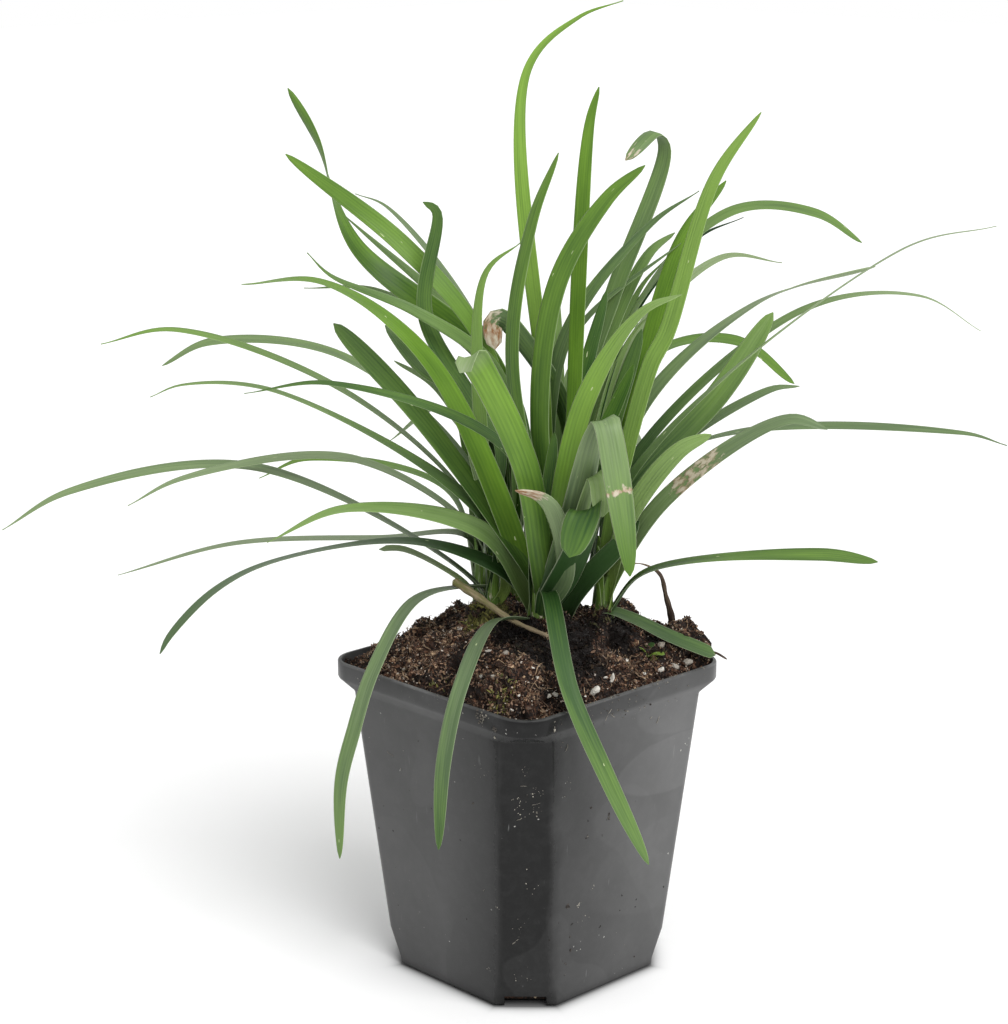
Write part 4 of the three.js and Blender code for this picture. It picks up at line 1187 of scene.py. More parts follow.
# Soil and grit stuck to the pot: which side, [along, up], how far it spreads, how many, largest size,
# paleness.
DIRT = [
    ("right", -12, 99.7, 28, 90, 1.0, 0.3), ("right", 18, 99.7, 24, 60, 0.9, 0.4),
    ("left", -8, 99.8, 24, 40, 0.5, 0.4), ("left", 26, 98.5, 2.5, 40, 1.0, 0.35),
    ("left", 32, 95.5, 0.8, 22, 1.3, 0.2), ("left", 31, 92.5, 0.6, 8, 1.0, 0.5),
    ("left", 8, 99, 4.0, 14, 0.6, 0.5), ("left", -30, 96, 3.0, 6, 0.5, 0.7),
    ("left", -15, 72, 5.0, 6, 0.5, 0.5), ("left", 19, 68, 0.6, 4, 0.9, 0.05),
    ("left", 0, 62, 9.0, 7, 0.7, 0.1), ("left", 24, 80, 5.0, 9, 0.4, 0.7),
    ("left", 26, 35, 1.0, 6, 0.5, 0.8), ("left", -8, 30, 9.0, 9, 0.5, 0.5),
    ("left", 20, 12, 1.0, 8, 0.4, 0.8), ("right", -34, 96, 0.9, 14, 1.1, 0.5),
    ("right", 4, 92, 3.0, 8, 0.5, 0.6), ("right", -20, 98, 6.0, 12, 0.6, 0.4),
    ("right", -13, 65, 0.5, 5, 1.0, 0.05), ("right", -5, 59, 1.2, 8, 1.0, 0.1),
    ("right", -14, 55, 1.0, 5, 0.8, 0.1), ("right", -7, 54, 0.4, 3, 0.9, 0.05),
    ("right", -20, 34, 0.9, 9, 1.3, 0.05), ("right", -15, 33, 1.4, 7, 0.6, 0.95),
    ("right", -9, 37, 1.0, 4, 0.5, 0.9), ("right", -18, 23, 0.5, 3, 0.9, 0.05),
    ("right", -17, 18, 0.5, 5, 1.1, 0.05), ("right", -19, 14, 0.6, 5, 1.0, 0.1),
    ("right", -19, 10, 0.4, 3, 0.8, 0.05), ("right", 13, 6, 0.4, 3, 1.0, 0.05),
    ("right", -12, 26, 3.0, 6, 0.5, 0.8), ("right", 4, 12, 7.0, 8, 0.5, 0.5),
    ("right", -24, 75, 4.0, 8, 0.4, 0.7), ("corner", 0, 82, 2.0, 8, 0.5, 0.6),
    ("corner", 3, 75, 2.5, 14, 0.6, 0.7), ("corner", -2, 70, 3.0, 16, 0.6, 0.85),
    ("corner", 3, 69, 2.0, 10, 0.7, 0.4), ("corner", 0, 44, 3.0, 7, 0.6, 0.9),
    ("corner", -2, 28, 3.0, 8, 0.5, 0.7), ("corner", 0, 12, 4.0, 8, 0.5, 0.8),
    ("corner", 4, 96, 3.0, 6, 0.5, 0.3),
]

# Dirt sticks within this distance of a side's middle and above this height, and its spread up and down is at
# most this. From the last height on it lies on the rim's top, up to so far in over it.
DIRT_REACH = 33
DIRT_LOWEST = 1
DIRT_SPREAD_UP = 8
RIM_TOP = POT_HEIGHT - 0.2
DIRT_INWARD = 1.5
DIRT_SEED = 5
# How thick a root hair is drawn.
HAIR_WIDTH = 0.22

# Root hairs stuck to the pot: which side, [along, up], length, and lean in degrees from level.
ROOT_HAIRS = [
    ("right", -10, 95, 4, 50), ("right", -8, 94, 2.5, -35), ("right", 15, 88, 4.5, 60),
    ("right", 13, 89, 5, 12), ("left", -18, 74, 3, -20), ("left", 27, 97, 3, 75),
    ("left", -28, 97, 2.5, -30), ("corner", 0, 77, 3, 5), ("corner", -3, 73, 2.5, -10),
    ("corner", 3, 71, 2.5, 15), ("corner", -2, 66, 2, 30), ("corner", -3, 24, 2.5, 40),
    ("right", -26, 88, 2, 70), ("left", 21, 40, 2, 60),
]


def on_wall(side, along, up):
    """A place on the outside of the pot, and which way that side faces, as an angle about Z."""
    half = np.interp(up, (WALL_TOP, BAND_FOOT), (wall_width(WALL_TOP), RIM_WIDTH)) / 2
    if up < WALL_TOP:
        half = wall_width(up) / 2
    if side == "left":
        return (along, -half, up), -math.pi / 2
    if side == "right":
        return (half, along, up), 0.0
    middle, off = half - CORNER_CUT / 2, along / math.sqrt(2)
    return (middle + off, off - middle, up), -math.pi / 4


def laid_tree(name, shape, bend):
    """Puts a shape on each point of a mesh, which carries its "size" and "turn", and bends it by noise."""
    tree, given = new_node_tree(name, Material="Material")

    def kept(label):
        return add(tree, "GeometryNodeInputNamedAttribute", {"Name": label}, data_type="FLOAT_VECTOR")

    laid = add(tree, "GeometryNodeInstanceOnPoints", {
        "Points": given.outputs["Geometry"], "Instance": shape(tree), "Rotation": kept("turn"),
        "Scale": kept("size")})
    cell, depth = bend
    plain = add(tree, "GeometryNodeRealizeInstances", {"Geometry": laid})
    end_tree(tree, roughened(tree, plain, cell, depth * MM, 3), given)
    return tree


def lay(name, tree, material, places, sizes, turns, tints):
    """A piece of small things, each with its place, size, turn and tint."""
    made = new_object(name, places, ())
    store(made.data, "size", "FLOAT_VECTOR", np.asarray(sizes, float) * MM)
    store(made.data, "turn", "FLOAT_VECTOR", turns)
    store(made.data, "tint", "FLOAT", tints)
    grow(made, tree, Material=material)
    return made


def stones_on(soil):
    """Places, sizes, turns and tints of the stones, each sunk a little into the soil's surface."""
    bpy.context.view_layer.update()
    rows = []
    draw = np.random.default_rng(STONE_SEED)
    for across, away, *size, lean, tint in STONES:
        x, y, _ = clump_to_pot([(across, away, 0)])[0]
        hit, place, _, _ = soil.ray_cast(Vector((x, y, RAY_FROM)) * MM, Vector((0, 0, -1)))
        if not hit:
            raise RuntimeError(f"no soil under the stone at {across}, {away}")
        up = place.z / MM + STONE_RAISED * size[2]
        turn = (STONE_TILT, -math.radians(lean), math.radians(CLUMP_TURN) + draw.uniform(-0.5, 0.5))
        rows.append(((x, y, up), size, turn, tint))
    return zip(*rows)


def inward(place, share):
    """A place at the rim's outer edge, moved in over the rim by a share of the furthest that dirt lies."""
    reach = 1 - share * DIRT_INWARD / (RIM_WIDTH / 2)
    return np.array(place) * (reach, reach, 1)


def dirt_on_pot():
    """Places, sizes, turns and tints of the grit and soil stuck to the pot."""
    draw = np.random.default_rng(DIRT_SEED)
    rows = []
    for side, along, up, spread, how_many, largest, tint in DIRT:
        for _ in range(how_many):
            shift, rise = draw.normal(0, spread / 2, 2)
            up_here = np.clip(up + rise * min(spread, DIRT_SPREAD_UP) / spread, DIRT_LOWEST, POT_HEIGHT)
            place, _ = on_wall(side, np.clip(along + shift, -DIRT_REACH, DIRT_REACH), up_here)
            if up_here >= RIM_TOP:
                place = inward(place, draw.random())
            # Most specks are small, and each is uneven.
            size = largest * (0.35 + 0.65 * draw.random() ** 2) * draw.uniform(0.5, 1, 3)
            rows.append((place, size, draw.uniform(-3, 3, 3), np.clip(tint + draw.normal(0, 0.12), 0, 1)))
    return zip(*rows)


def hairs_on_pot():
    """Places, sizes, turns and tints of the root hairs stuck to the pot."""
    rows = []
    for side, along, up, reach, lean in ROOT_HAIRS:
        place, facing = on_wall(side, along, up)
        turn = (0, -math.radians(lean), facing + math.pi / 2)
        rows.append((place, (reach, HAIR_WIDTH, HAIR_WIDTH), turn, 0.6))
    return zip(*rows)


# ---------- leaves ----------


def spline_through(points, steps):
    """Points on the centripetal Catmull-Rom curve through the given points, evenly spaced along it, and how
    far along it each lies. steps gives their number, less one, for the curve's length."""
    points = np.asarray(points, float)
    ends = np.vstack([2 * points[0] - points[1], points, 2 * points[-1] - points[-2]])
    samples = []
    for p0, p1, p2, p3 in zip(ends, ends[1:], ends[2:], ends[3:]):
        d0, d1, d2 = (math.sqrt(np.linalg.norm(b - a)) for a, b in ((p0, p1), (p1, p2), (p2, p3)))
        m1 = ((p1 - p0) / d0 - (p2 - p0) / (d0 + d1) + (p2 - p1) / d1) * d1
        m2 = ((p2 - p1) / d1 - (p3 - p1) / (d1 + d2) + (p3 - p2) / d2) * d1
        t = np.linspace(0, 1, CURVE_SAMPLES, endpoint=False)[:, None]
        cubic = p1 + m1 * t + (3 * (p2 - p1) - 2 * m1 - m2) * t ** 2 + (2 * (p1 - p2) + m1 + m2) * t ** 3
        samples.append(cubic)
    samples = np.vstack([*samples, points[-1:]])
    run = run_along(samples)
    wanted = np.linspace(0, run[-1], max(steps(run[-1]), 4) + 1)
    return resampled(samples, run, wanted), wanted


def unit(rows):
    """Vectors in rows, made one unit long."""
    return rows / np.linalg.norm(rows, axis=1, keepdims=True)


def directions(points):
    """Unit tangents along a line of points."""
    return unit(np.gradient(points, axis=0))


def heading_of(start, end):
    """The level direction from one point to another, as an angle about up."""
    return math.atan2(end[1] - start[1], end[0] - start[0])


def width_profile(tip, share):
    """A blade's width at shares of its length, as a share of its full width."""
    start, bend, end, *narrow = tip
    foot = narrow[0] if narrow else BASE_WIDTH
    opening = np.minimum(share / WIDENS_OVER, 1)
    base = foot + (1 - foot) * opening * (2 - opening)
    past = np.clip((share - start) / (1 - start), 0, 1)
    return base * (1 - past ** bend) ** end


class Strips:
    """Midribs with what their sweep needs, gathered for one piece. Everything is in millimetres."""

    FIELDS = ("centre", "side", "face", "half", "thick", "fold", "run", "tone", "bloom", "dry", "seed")

    def __init__(self):
        self.rows = []
        self.edges = []

    def put(self, points, run, side, face, **values):
        """Adds one midrib. A value is one number or one for each point."""
        first = sum(len(r["centre"]) for r in self.rows)
        n = len(points)
        self.edges += [(first + i, first + i + 1) for i in range(n - 1)]
        row = {"centre": points, "side": side, "face": face, "run": run}
        row.update({k: np.broadcast_to(np.asarray(v, float), (n,)) for k, v in values.items()})
        self.rows.append(row)

    def piece(self, name):
        """An object of edges with the values on its points, lengths in metres."""
        whole = {k: np.concatenate([r[k] for r in self.rows]) for k in self.FIELDS}
        for k in ("centre", "side", "face"):
            whole[k] = clump_to_pot(whole[k])
        made = new_object(name, whole["centre"], (), self.edges)
        for k in self.FIELDS:
            metric = MM if k in ("centre", "half", "thick", "run") else 1
            store(made.data, k, "FLOAT_VECTOR" if whole[k].ndim == 2 else "FLOAT", whole[k] * metric)
        return made


def blade_frame(points, heading, roll):
    """A blade's side and upper face at each point. Its roll is given in degrees at even steps from the root
    to the tip, and follows the smooth curve through them."""
    along = directions(points)
    level = np.array([-math.sin(heading), math.cos(heading), 0])
    side = unit(level - along * (along @ level)[:, None])
    face = np.cross(along, side)
    smooth = np.polyfit(np.linspace(0, 1, len(roll)), roll, len(roll) - 1)
    angle = np.radians(np.polyval(smooth, np.linspace(0, 1, len(points))))
    c, s = np.cos(angle)[:, None], np.sin(angle)[:, None]
    return side * c + face * s, face * c - side * s


def stepped(values, share):
    """One number, or several given for even steps from root to tip, at shares of a blade's length."""
    values = np.atleast_1d(values)
    return np.interp(share, np.linspace(0, 1, len(values)), values)


def put_blade(strips, at, row, looks, seed):
    """One strap leaf from its row; past the points come its withered stretches as (from, to, how dry)."""
    width, tip, tone, bloom, roll, points, *withered = row
    heading = heading_of(at, points[-1])
    if points[0][2] > ROOT_HEIGHT:
        root = (at[0] + ROOT_OFFSET * math.cos(heading), at[1] + ROOT_OFFSET * math.sin(heading), ROOT_HEIGHT)
        points = [root, *points]
    step = looks.step / MM
    midrib, run = spline_through(points, lambda reach: round(reach / step))
    side, face = blade_frame(midrib, heading, roll)
    share = run / run[-1]
    half = np.maximum(width * width_profile(tip, share) / 2, LEAST_HALF_WIDTH)
    dry = np.zeros(len(share))
    for first, last, amount in withered:
        middle, reach = (first + last) / 2, (last - first) / 2
        dry = np.maximum(dry, amount * np.clip(WITHERS - WITHERS * np.abs(share - middle) / reach, 0, 1))
    strips.put(midrib, run, side, face, half=half,
               thick=looks.thickness / MM / 2 * np.clip(half / THINS_BELOW, 0.5, 1),
               fold=CHANNEL + ROOT_CHANNEL * np.exp(-run / ROOT_CHANNEL_FADES),
               tone=stepped(tone, share), bloom=stepped(bloom, share), dry=dry, seed=seed)


def hidden_blade(at, heading, reach, rise, drop):
    """The row of a blade that rises away at the back, arches over and comes down again. Its bends are at
    shares of its reach, each with its height there."""
    c, s = math.cos(math.radians(heading)), math.sin(math.radians(heading))
    bends = ((0.14, 0.6 * rise), (0.52, rise), (1, rise - drop))
    points = [(at[0] + c * reach * out, at[1] + s * reach * out, ROOT_HEIGHT + up) for out, up in bends]
    return HIDDEN_WIDTH, FINE, HIDDEN_TONE, HIDDEN_BLOOM, (0, 0, 0), points


def put_sheath(strips, at, draw):
    """The shoot's core and the short scale leaves that wrap its foot, each taller than the last."""
    height = np.linspace(SHEATH_BOTTOM, SHEATH_TOP, 8)
    n = len(height)
    points = np.column_stack([np.full(n, at[0]), np.full(n, at[1]), height])
    radius = np.interp(height, (SHEATH_BOTTOM, ROOT_HEIGHT, SHEATH_TOP), (0.8, 0.8, 0.4)) * SHEATH_RADIUS
    across, away = np.tile((1.0, 0, 0), (n, 1)), np.tile((0, 1.0, 0), (n, 1))
    strips.put(points, height - SHEATH_BOTTOM, across, away, half=radius, thick=radius, fold=0,
               tone=0.5, bloom=0, dry=0.3, seed=draw.random())
    foot = np.array([*at, 0])
    for k in range(SCALE_LEAVES):
        heading = k * SCALE_TURN + draw.random()
        out = np.array([math.cos(heading), math.sin(heading), 0])
        top = SCALE_TOP + SCALE_RISE * k + SCALE_VARIES * draw.random()
        bends = [foot + out * r + (0, 0, z) for r, z in ((1.9, SHEATH_BOTTOM), (2.3, 114), (2.6, top))]
        midrib, run = spline_through(bends, lambda reach: 14)
        side, face = blade_frame(midrib, heading, (0, 0, 0))
        share = run / run[-1]
        half = np.maximum(SCALE_HALF_WIDTH * width_profile(ROUND, share), 0.3)
        # A scale leaf is cupped and dry at its foot, and flatter and greener towards its tip.
        dry = (0.8 - 0.7 * share) * (0.2 + 0.6 * draw.random())
        strips.put(midrib, run, side, face, half=half, thick=SCALE_HALF_THICKNESS, fold=0.62 - 0.3 * share,
                   tone=0.6, bloom=0, dry=dry, seed=draw.random())


def strap_tree():
    """Sweeps a thin lens along midribs, folded at the midrib, with the values of each midrib kept."""
    tree, given = new_node_tree("strap_leaves", Sides="Int", Material="Material")
    lines = add(tree, "GeometryNodeMeshToCurve", {"Mesh": given.outputs["Geometry"]})
    outline = add(tree, "GeometryNodeCurvePrimitiveCircle", {
        "Resolution": given.outputs["Sides"], "Radius": 0.5 * MM})
    marked = add(tree, "GeometryNodeStoreNamedAttribute", {
        "Geometry": outline, "Name": "turn",
        "Value": add(tree, "GeometryNodeSplineParameter").outputs["Factor"]}, data_type="FLOAT")
    swept = add(tree, "GeometryNodeCurveToMesh", {
        "Curve": lines, "Profile Curve": marked, "Fill Caps": True})

    def kept(name, data_type="FLOAT"):
        return add(tree, "GeometryNodeInputNamedAttribute", {"Name": name}, data_type=data_type)

    angle = maths(tree, "MULTIPLY", kept("turn"), 2 * math.pi)
    across, over = maths(tree, "COSINE", angle), maths(tree, "SINE", angle)
    reach = maths(tree, "MULTIPLY", across, kept("half"))
    out = vector_maths(tree, "SCALE", kept("side", "FLOAT_VECTOR"), reach)
    channel = maths(tree, "MULTIPLY", maths(tree, "POWER", maths(tree, "ABSOLUTE", across), 1.5),
                    maths(tree, "MULTIPLY", kept("fold"), kept("half")))
    lift = maths(tree, "MULTIPLY_ADD", over, kept("thick"), channel)
    flat = vector_maths(tree, "ADD", kept("centre", "FLOAT_VECTOR"), out)
    place = vector_maths(tree, "ADD", flat, vector_maths(tree, "SCALE", kept("face", "FLOAT_VECTOR"), lift))
    shaped = add(tree, "GeometryNodeSetPosition", {"Geometry": swept, "Position": place})
    for name, value in (("across", across), ("over", over)):
        shaped = add(tree, "GeometryNodeStoreNamedAttribute", {
            "Geometry": shaped, "Name": name, "Value": value}, data_type="FLOAT")
    smooth = add(tree, "GeometryNodeSetShadeSmooth", {"Geometry": shaped})
    end_tree(tree, smooth, given)
    return tree


def strap_leaf(looks):
    """Evergreen strap leaf: a waxy, satin skin, darker towards the root as painted shade and yellow-green at
    a young leaf's foot, with a grey on outer leaves and on the lower side that is partly wax bloom and partly
    painted sheen. Fine parallel ribs show on young leaves; the margin is thin and pale, and a few pale dashes
    run with the ribs. Withered stretches are brown to straw-coloured and ragged."""
    material, tree, shader = new_material("evergreen_strap_leaf", 0.4, IOR=1.45, Specular_IOR_Level=0.3)
    across, over = attribute(tree, "across"), attribute(tree, "over")
    run, tone = attribute(tree, "run"), attribute(tree, "tone")
    dry, seed = attribute(tree, "dry"), attribute(tree, "seed")

    def along(cells_across, cell_length):
        """Coordinates on the blade, in cells over its half width and along its run."""
        return add(tree, "ShaderNodeCombineXYZ", {
            "X": maths(tree, "MULTIPLY", across, cells_across),
            "Y": maths(tree, "MULTIPLY", run, per(cell_length)),
            "Z": maths(tree, "MULTIPLY", seed, 90.0)})

    # Ribs are a quarter of a millimetre apart, drawn at two to four times that to show.
    streak = noise_at(tree, along(5.0, 30), 1.0, 3, 0.65)
    cloud = noise_at(tree, along(0.9, 22), 1.0, 2, 0.5)
    ribs = maths(tree, "COSINE", maths(tree, "MULTIPLY", across, 6.5 * math.pi))
    lower = span(tree, over, -0.3, 0.0, 1.0, 0.0)
    ribbed = maths(tree, "MULTIPLY_ADD", lower, 0.15, span(tree, tone, 0.7, 1.0, 0.35, 1.3))
    wobble = maths(tree, "MULTIPLY_ADD", centred(tree, streak), 1.3, maths(tree, "MULTIPLY", ribs, 0.15))
    level = maths(tree, "MULTIPLY_ADD", wobble, ribbed, tone)
    level = maths(tree, "MULTIPLY_ADD", centred(tree, cloud), 0.6, level)
    # Painted shade: the tone falls towards the root.
    level = maths(tree, "ADD", level, span(tree, run, 10 * MM, 80 * MM, -0.15, 0.05))
    green = mix(tree, span(tree, level, 0.0, 1.2, 0.0, 1.2), looks.dark, looks.bright)
    # The grey is partly wax bloom and partly painted sheen, more on outer leaves.
    bloom_and_painted_sheen = maths(tree, "MULTIPLY_ADD", lower, 0.06, attribute(tree, "bloom"))
    bloom_and_painted_sheen = maths(tree, "MULTIPLY", bloom_and_painted_sheen, span(tree, streak, 0.3, 0.7, 0.65, 1.15))
    greyed_by_bloom_and_sheen = mix(tree, bloom_and_painted_sheen, green, looks.bloom)
    # Painted shade: the blade darkens towards its root, where the leaves shade each other.
    shaded = mix(tree, span(tree, run, 4 * MM, 45 * MM, 0.6, 0.0), greyed_by_bloom_and_sheen, linear("#10200c"))
    pale_foot = maths(tree, "MULTIPLY",
                      span(tree, run, 3 * MM, 28 * MM, 0.6, 0.0), span(tree, tone, 0.35, 0.8, 0.0, 1.0))
    rooted = mix(tree, pale_foot, shaded, looks.base)
    rim = span(tree, maths(tree, "ABSOLUTE", across), 0.93, 0.98, 0.0, 0.5)
    edged = mix(tree, rim, rooted, looks.margin)
    dashes = flecks(tree, along(2.5, 4.5), 0.22, 0.08)
    scarred = maths(tree, "MULTIPLY", dashes, span(tree, noise_at(tree, along(0.5, 18), 1.0, 1), 0.42, 0.52))
    dashed = mix(tree, maths(tree, "MULTIPLY", scarred, 0.8), edged, linear("#c9d4a4"))
    eaten = noise_at(tree, along(2.0, 3.5), 1.0, 3, 0.6)
    withered = span(tree, maths(tree, "MULTIPLY_ADD", dry, 0.75, centred(tree, eaten)), 0.3, 0.42)
    dead = mix(tree, span(tree, eaten, 0.36, 0.6), looks.dry, linear("#c4bba6"))
    finished = mix(tree, withered, dashed, dead)
    drive(tree, shader, "Base Color", finished)
    # The lower side and above all withered tissue are duller than the satin skin.
    skin = maths(tree, "MULTIPLY_ADD", lower, 0.08, span(tree, streak, 0.2, 0.8, 0.33, 0.46))
    drive(tree, shader, "Roughness", maths(tree, "ADD", skin, maths(tree, "MULTIPLY", withered, 0.35)))
    relief = maths(tree, "ADD", maths(tree, "MULTIPLY", wobble, ribbed), withered)
    bumped(tree, shader, relief, 0.2, 0.6)
    return material


def dead_tissue(looks):
    """Dry stalk, leaf and twig: dull and fibrous, brown to straw-coloured, with moss on the stalk."""
    material, tree, shader = new_material("dead_plant_tissue", 0.85)
    across, run, tone = attribute(tree, "across"), attribute(tree, "run"), attribute(tree, "tone")
    where = add(tree, "ShaderNodeCombineXYZ", {
        "X": maths(tree, "MULTIPLY", across, 3.0), "Y": maths(tree, "MULTIPLY", run, per(6)),
        "Z": attribute(tree, "over")})
    fibre = noise_at(tree, where, 1.0, 4, 0.6)
    level = maths(tree, "MULTIPLY_ADD", centred(tree, fibre), 1.6, tone)
    toned = mix(tree, span(tree, level, 0.0, 1.2), linear("#33221a"), linear("#b09c80"))
    moss = maths(tree, "MULTIPLY", attribute(tree, "bloom"), span(tree, fibre, 0.4, 0.6, 0.9, 0.2))
    mossy = mix(tree, moss, toned, linear("#62662f"))
    drive(tree, shader, "Base Color", mossy)
    bumped(tree, shader, fibre, 0.25, 0.8)
    return material


def put_stick(strips, radii, dryness, moss, points, seed):
    """A dead bit from its row, a little knobbly."""
    midrib, run = spline_through(points, lambda reach: round(reach / STICK_STEP))
    along = directions(midrib)
    side = unit(np.cross((0.2, 0.3, 0.9), along))
    face = np.cross(along, side)
    share = run / run[-1]
    knobs = 1 + 0.16 * np.sin(run * 0.9 + seed * 9) * np.sin(run * 0.37 + 2)
    size = stepped(radii, share) * knobs
    # It narrows at its last point.
    size[-1] *= 0.3
    strips.put(midrib, run, side, face, half=size, thick=size * 0.7, fold=0, tone=stepped(dryness, share),
               bloom=stepped(moss, share), dry=1, seed=seed)


def put_leaflet(strips, width, tone, points, seed):
    """One leaflet of the seedling."""
    midrib, run = spline_through(points, lambda reach: 8)
    side, face = blade_frame(midrib, heading_of(points[0], points[-1]), (0, 20))
    half = np.maximum(width * width_profile((*BLUNT, 0.2), run / run[-1]) / 2, LEAFLET_HALF_THICKNESS)
    strips.put(midrib, run + 0.05, side, face, half=half, thick=LEAFLET_HALF_THICKNESS, fold=0.3, tone=tone,
               bloom=0.1, dry=0, seed=seed)


# ---------- operators ----------


class StageLiriope(bpy.types.Operator):
    """Set the floor, the lamps, the surround and the camera"""

    bl_idname = "liriope.stage"
    bl_label = "Stage"

    def execute(self, context):
        looks = context.scene.liriope_stage
        scene = context.scene
        corners = [(x * FLOOR_REACH, y * FLOOR_REACH, -FLOOR_DROP)
                   for x, y in ((-1, -1), (1, -1), (1, 1), (-1, 1))]
        floor = new_object("floor", corners, [(0, 1, 2, 3)])
        material, tree, shader = new_material("matt_white_paper", 0.9)
        place = object_place(tree)
        tooth = noise_at(tree, place, per(120), 2)
        shade = mix(tree, span(tree, tooth, 0.3, 0.7, 0.0, 0.02), looks.floor, linear("#e8e8e8"))
        # Close to the foot, a painted contact shadow darkens the paper.
        x, y, _ = axes(tree, vector_maths(tree, "ABSOLUTE", place))
        sides = maths(tree, "SUBTRACT", maths(tree, "MAXIMUM", x, y), WALL_BASE_WIDTH / 2 * MM)
        past_cut = maths(tree, "SUBTRACT", maths(tree, "ADD", x, y), (WALL_BASE_WIDTH - FOOT_CUT) * MM)
        off = maths(tree, "MAXIMUM", sides, maths(tree, "MULTIPLY", past_cut, math.sqrt(0.5)))
        near = maths(tree, "POWER", span(tree, off, 0.0, 9 * MM, 1.0, 0.0), 4.0)
        shade = mix(tree, maths(tree, "MULTIPLY", near, 0.85), shade, linear("#2c2c2c"))
        drive(tree, shader, "Base Color", shade)
        floor.data.materials.append(material)

        world = bpy.data.worlds.new("white_surround")
        world.use_nodes = True
        tree = world.node_tree
        seen = add(tree, "ShaderNodeLightPath").outputs["Is Camera Ray"]
        strength = add(tree, "ShaderNodeMix", {"Factor": seen, "A": looks.sky, "B": 1.0})
        tree.links.new(strength.outputs[0], tree.nodes["Background"].inputs["Strength"])
        tree.nodes["Background"].inputs["Color"].default_value = (1, 1, 1, 1)
        scene.world = world

        self.key_light(looks)
        self.camera(scene)
        scene.view_settings.view_transform = "Standard"
        return {"FINISHED"}

    def key_light(self, looks):
        """The softbox, high in front of the clump and a little to its right."""
        data = bpy.data.lights.new("key_softbox", "SUN")
        data.energy = looks.key
        data.angle = looks.softness
        made = bpy.data.objects.new("key_softbox", data)
        bpy.context.scene.collection.objects.link(made)
        towards = Vector(clump_to_pot([KEY_DIRECTION])[0])
        made.location = towards
        made.rotation_euler = towards.to_track_quat("Z", "Y").to_euler()

    def camera(self, scene):
        """The camera, 0.8 m from the clump and a little above it."""
        azimuth, elevation = math.radians(CAMERA_AZIMUTH), math.radians(CAMERA_ELEVATION)
        back = Vector((math.sin(azimuth) * math.cos(elevation), -math.cos(azimuth) * math.cos(elevation),
                       math.sin(elevation)))
        data = bpy.data.cameras.new("camera")
        data.sensor_fit = "HORIZONTAL"
        data.sensor_width = SENSOR_WIDTH
        data.lens = CAMERA_LENS
        data.clip_start = 0.01
        data.clip_end = 50
        made = bpy.data.objects.new("camera", data)
        scene.collection.objects.link(made)
        made.location = (Vector(CAMERA_TARGET) + back * CAMERA_DISTANCE) * MM
        made.rotation_euler = (-back).to_track_quat("-Z", "Y").to_euler()
        scene.camera = made


class BuildPot(bpy.types.Operator):
    """Build the square nursery pot"""

    bl_idname = "liriope.pot"
    bl_label = "Pot"

    def execute(self, context):
        looks = context.scene.liriope_pot
        pot = pot_mesh(looks.edge / MM)
        pot.data.materials.append(polypropylene(looks))
        finish_piece(pot, "pot", "pot")
        return {"FINISHED"}


class BuildSoil(bpy.types.Operator):
    """Build the potting soil with its crumbs"""

    bl_idname = "liriope.soil"
    bl_label = "Potting soil"

    def execute(self, context):
        looks = context.scene.liriope_soil
        soil = ground_mesh()
        grow(soil, ground_tree(), Crumb=looks.crumb, Crumbs=looks.crumbs, Material=moist_peat(looks))
        finish_piece(soil, "soil", "soil")
        return {"FINISHED"}


class StrewLitter(bpy.types.Operator):
    """Strew bark flakes, fibres, pale grains and moss over the soil"""

    bl_idname = "liriope.litter"
    bl_label = "Flakes, fibres, grains and moss"

    def execute(self, context):
        looks = context.scene.liriope_soil
        # Each piece's material, as its name, two colours, mottle, roughness and relief; then how many there
        # are, where they gather, and their weight everywhere.
        kinds = {
            "bark_flakes": (
                ("bark_and_coir", looks.peat, linear("#a3826a"), 0.8, 0.7, 0.2), looks.flakes, [], 1.0),
            "root_fibres": (
                ("bark_and_root_fibre", linear("#3a281c"), looks.straw, 2, 0.8, 0.1), looks.fibres, [], 1.0),
            "pale_grains": (
                ("perlite_and_pale_grit", linear("#6f5a48"), linear("#dcd2c6"), 0.8, 0.7, 0.3), looks.grains,
                GRAIN_PATCHES, 1.0),
            "moss": (
                ("cushion_moss", linear("#3f3f1c"), looks.green, 1.5, 0.8, 0.1), looks.moss,
                MOSS_PATCHES, 0.0),
        }
        pieces = [litter_on(name, litter_tree(name), plain_litter(*stuff), *rest)
                  for name, (stuff, *rest) in kinds.items()]
        for piece in pieces:
            finish_piece(piece, "soil")
        return {"FINISHED"}


class LayStonesAndDirt(bpy.types.Operator):
    """Lay the stones on the soil, and stick grit, soil and root hairs to the pot"""

    bl_idname = "liriope.dirt"
    bl_label = "Stones and dirt"

    def execute(self, context):
        looks = context.scene.liriope_soil
        soil = bpy.data.objects.get("potting_soil")
        if soil is None:
            raise RuntimeError("the soil must be built before the stones are laid on it")
        grit = plain_litter("stuck_soil_and_grit", looks.peat, linear("#c4beb0"), 0.4, 0.75, 0.1)
        stones = lay("stones", laid_tree("stones", grain_shape, (1.1, 1.3)),
                     plain_litter("perlite_stones", linear("#5d4f41"), looks.perlite, 0.6, 0.75, 0.5),
                     *stones_on(soil))
        dirt = lay("dirt_on_pot", laid_tree("dirt_on_pot", flake_shape, (0.5, 0.3)), grit, *dirt_on_pot())
        hairs = lay("root_hairs_on_pot", laid_tree("root_hairs_on_pot", thread, (2.5, 1.6)), grit,
                    *hairs_on_pot())
        finish_piece(stones, "soil")
        for piece in (dirt, hairs):
            finish_piece(piece, "pot")
        return {"FINISHED"}


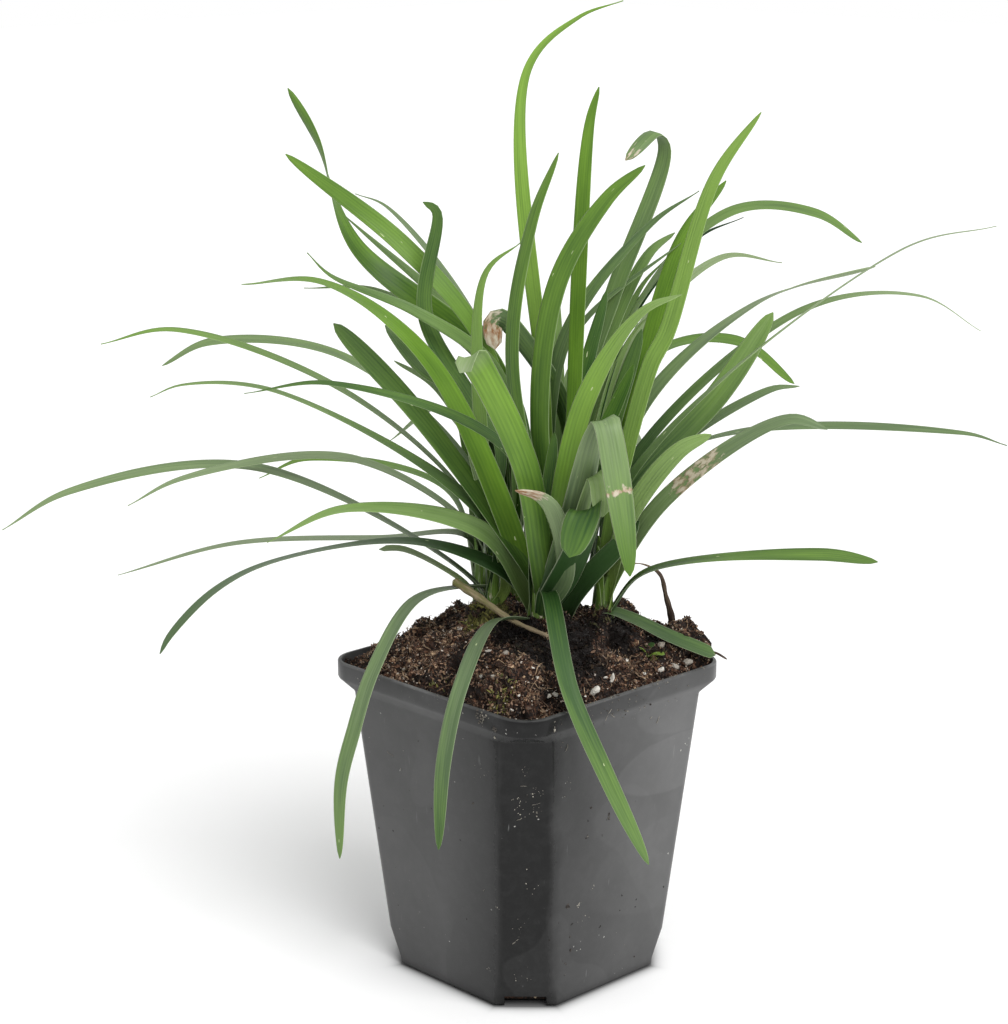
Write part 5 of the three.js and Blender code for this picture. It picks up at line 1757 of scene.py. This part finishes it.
class GrowShoots(bpy.types.Operator):
    """Grow the leafy shoots, each in its place in the soil"""

    bl_idname = "liriope.shoots"
    bl_label = "Leafy shoots"

    def execute(self, context):
        looks = context.scene.liriope_leaves
        tree, material = strap_tree(), strap_leaf(looks)
        draw = np.random.default_rng(LEAF_SEED)
        for name, shoot in SHOOTS.items():
            at = shoot["at"]
            strips = Strips()
            rows = list(shoot["blades"])
            rows += [hidden_blade(at, *rule) for rule in shoot.get("hidden", [])]
            for row in rows:
                put_blade(strips, at, row, looks, draw.random())
            put_sheath(strips, at, draw)
            piece = strips.piece("leaves_of_" + name)
            grow(piece, tree, Sides=looks.sides, Material=material)
            finish_piece(piece, "leaf", name)
        return {"FINISHED"}


class GrowSeedling(bpy.types.Operator):
    """Grow the weed seedling in front of the clump"""

    bl_idname = "liriope.seedling"
    bl_label = "Weed seedling"

    def execute(self, context):
        looks = context.scene.liriope_leaves
        strips = Strips()
        for k, leaflet in enumerate(SEEDLING):
            put_leaflet(strips, *leaflet, 0.2 + 0.3 * k)
        piece = strips.piece("weed_seedling")
        grow(piece, strap_tree(), Sides=8, Material=strap_leaf(looks))
        finish_piece(piece, "leaf")
        return {"FINISHED"}


class LayDeadBits(bpy.types.Operator):
    """Lay the dead stalk, leaf and twig on the soil"""

    bl_idname = "liriope.dead_bits"
    bl_label = "Dead stalk, leaf and twig"

    def execute(self, context):
        looks = context.scene.liriope_leaves
        tree, material = strap_tree(), dead_tissue(looks)
        for k, (name, stick) in enumerate(STICKS.items()):
            strips = Strips()
            put_stick(strips, *stick, 0.3 * k)
            piece = strips.piece("dry_" + name)
            grow(piece, tree, Sides=10, Material=material)
            finish_piece(piece, "pale_stalk" if name == "pale_stalk" else "dead_leaf", name)
        return {"FINISHED"}


OPERATORS = (
    StageLiriope, BuildPot, BuildSoil, StrewLitter, LayStonesAndDirt, GrowShoots, GrowSeedling, LayDeadBits)
LOOKS = {
    "liriope_pot": PotLooks, "liriope_soil": SoilLooks, "liriope_leaves": LeafLooks,
    "liriope_stage": StageLooks}


class LiriopePanel(bpy.types.Panel):
    """The plant's pieces and their looks"""

    bl_idname = "VIEW3D_PT_liriope"
    bl_label = "Potted liriope"
    bl_space_type = "VIEW_3D"
    bl_region_type = "UI"
    bl_category = "Liriope"

    def draw(self, context):
        for name, group in LOOKS.items():
            box = self.layout.box()
            box.label(text=group.__doc__)
            for label in group.__annotations__:
                box.prop(getattr(context.scene, name), label)
        for operator in OPERATORS:
            self.layout.operator(operator.bl_idname)


def register():
    for group in (*LOOKS.values(), *OPERATORS, LiriopePanel):
        bpy.utils.register_class(group)
    for name, group in LOOKS.items():
        setattr(bpy.types.Scene, name, bpy.props.PointerProperty(type=group))


def unregister():
    for name in LOOKS:
        delattr(bpy.types.Scene, name)
    for group in reversed((*LOOKS.values(), *OPERATORS, LiriopePanel)):
        bpy.utils.unregister_class(group)


def main():
    register()
    bpy.ops.liriope.stage()
    bpy.ops.liriope.pot()
    bpy.ops.liriope.soil()
    bpy.ops.liriope.litter()
    bpy.ops.liriope.dirt()
    bpy.ops.liriope.shoots()
    bpy.ops.liriope.seedling()
    bpy.ops.liriope.dead_bits()


if __name__ == "__main__":
    main()
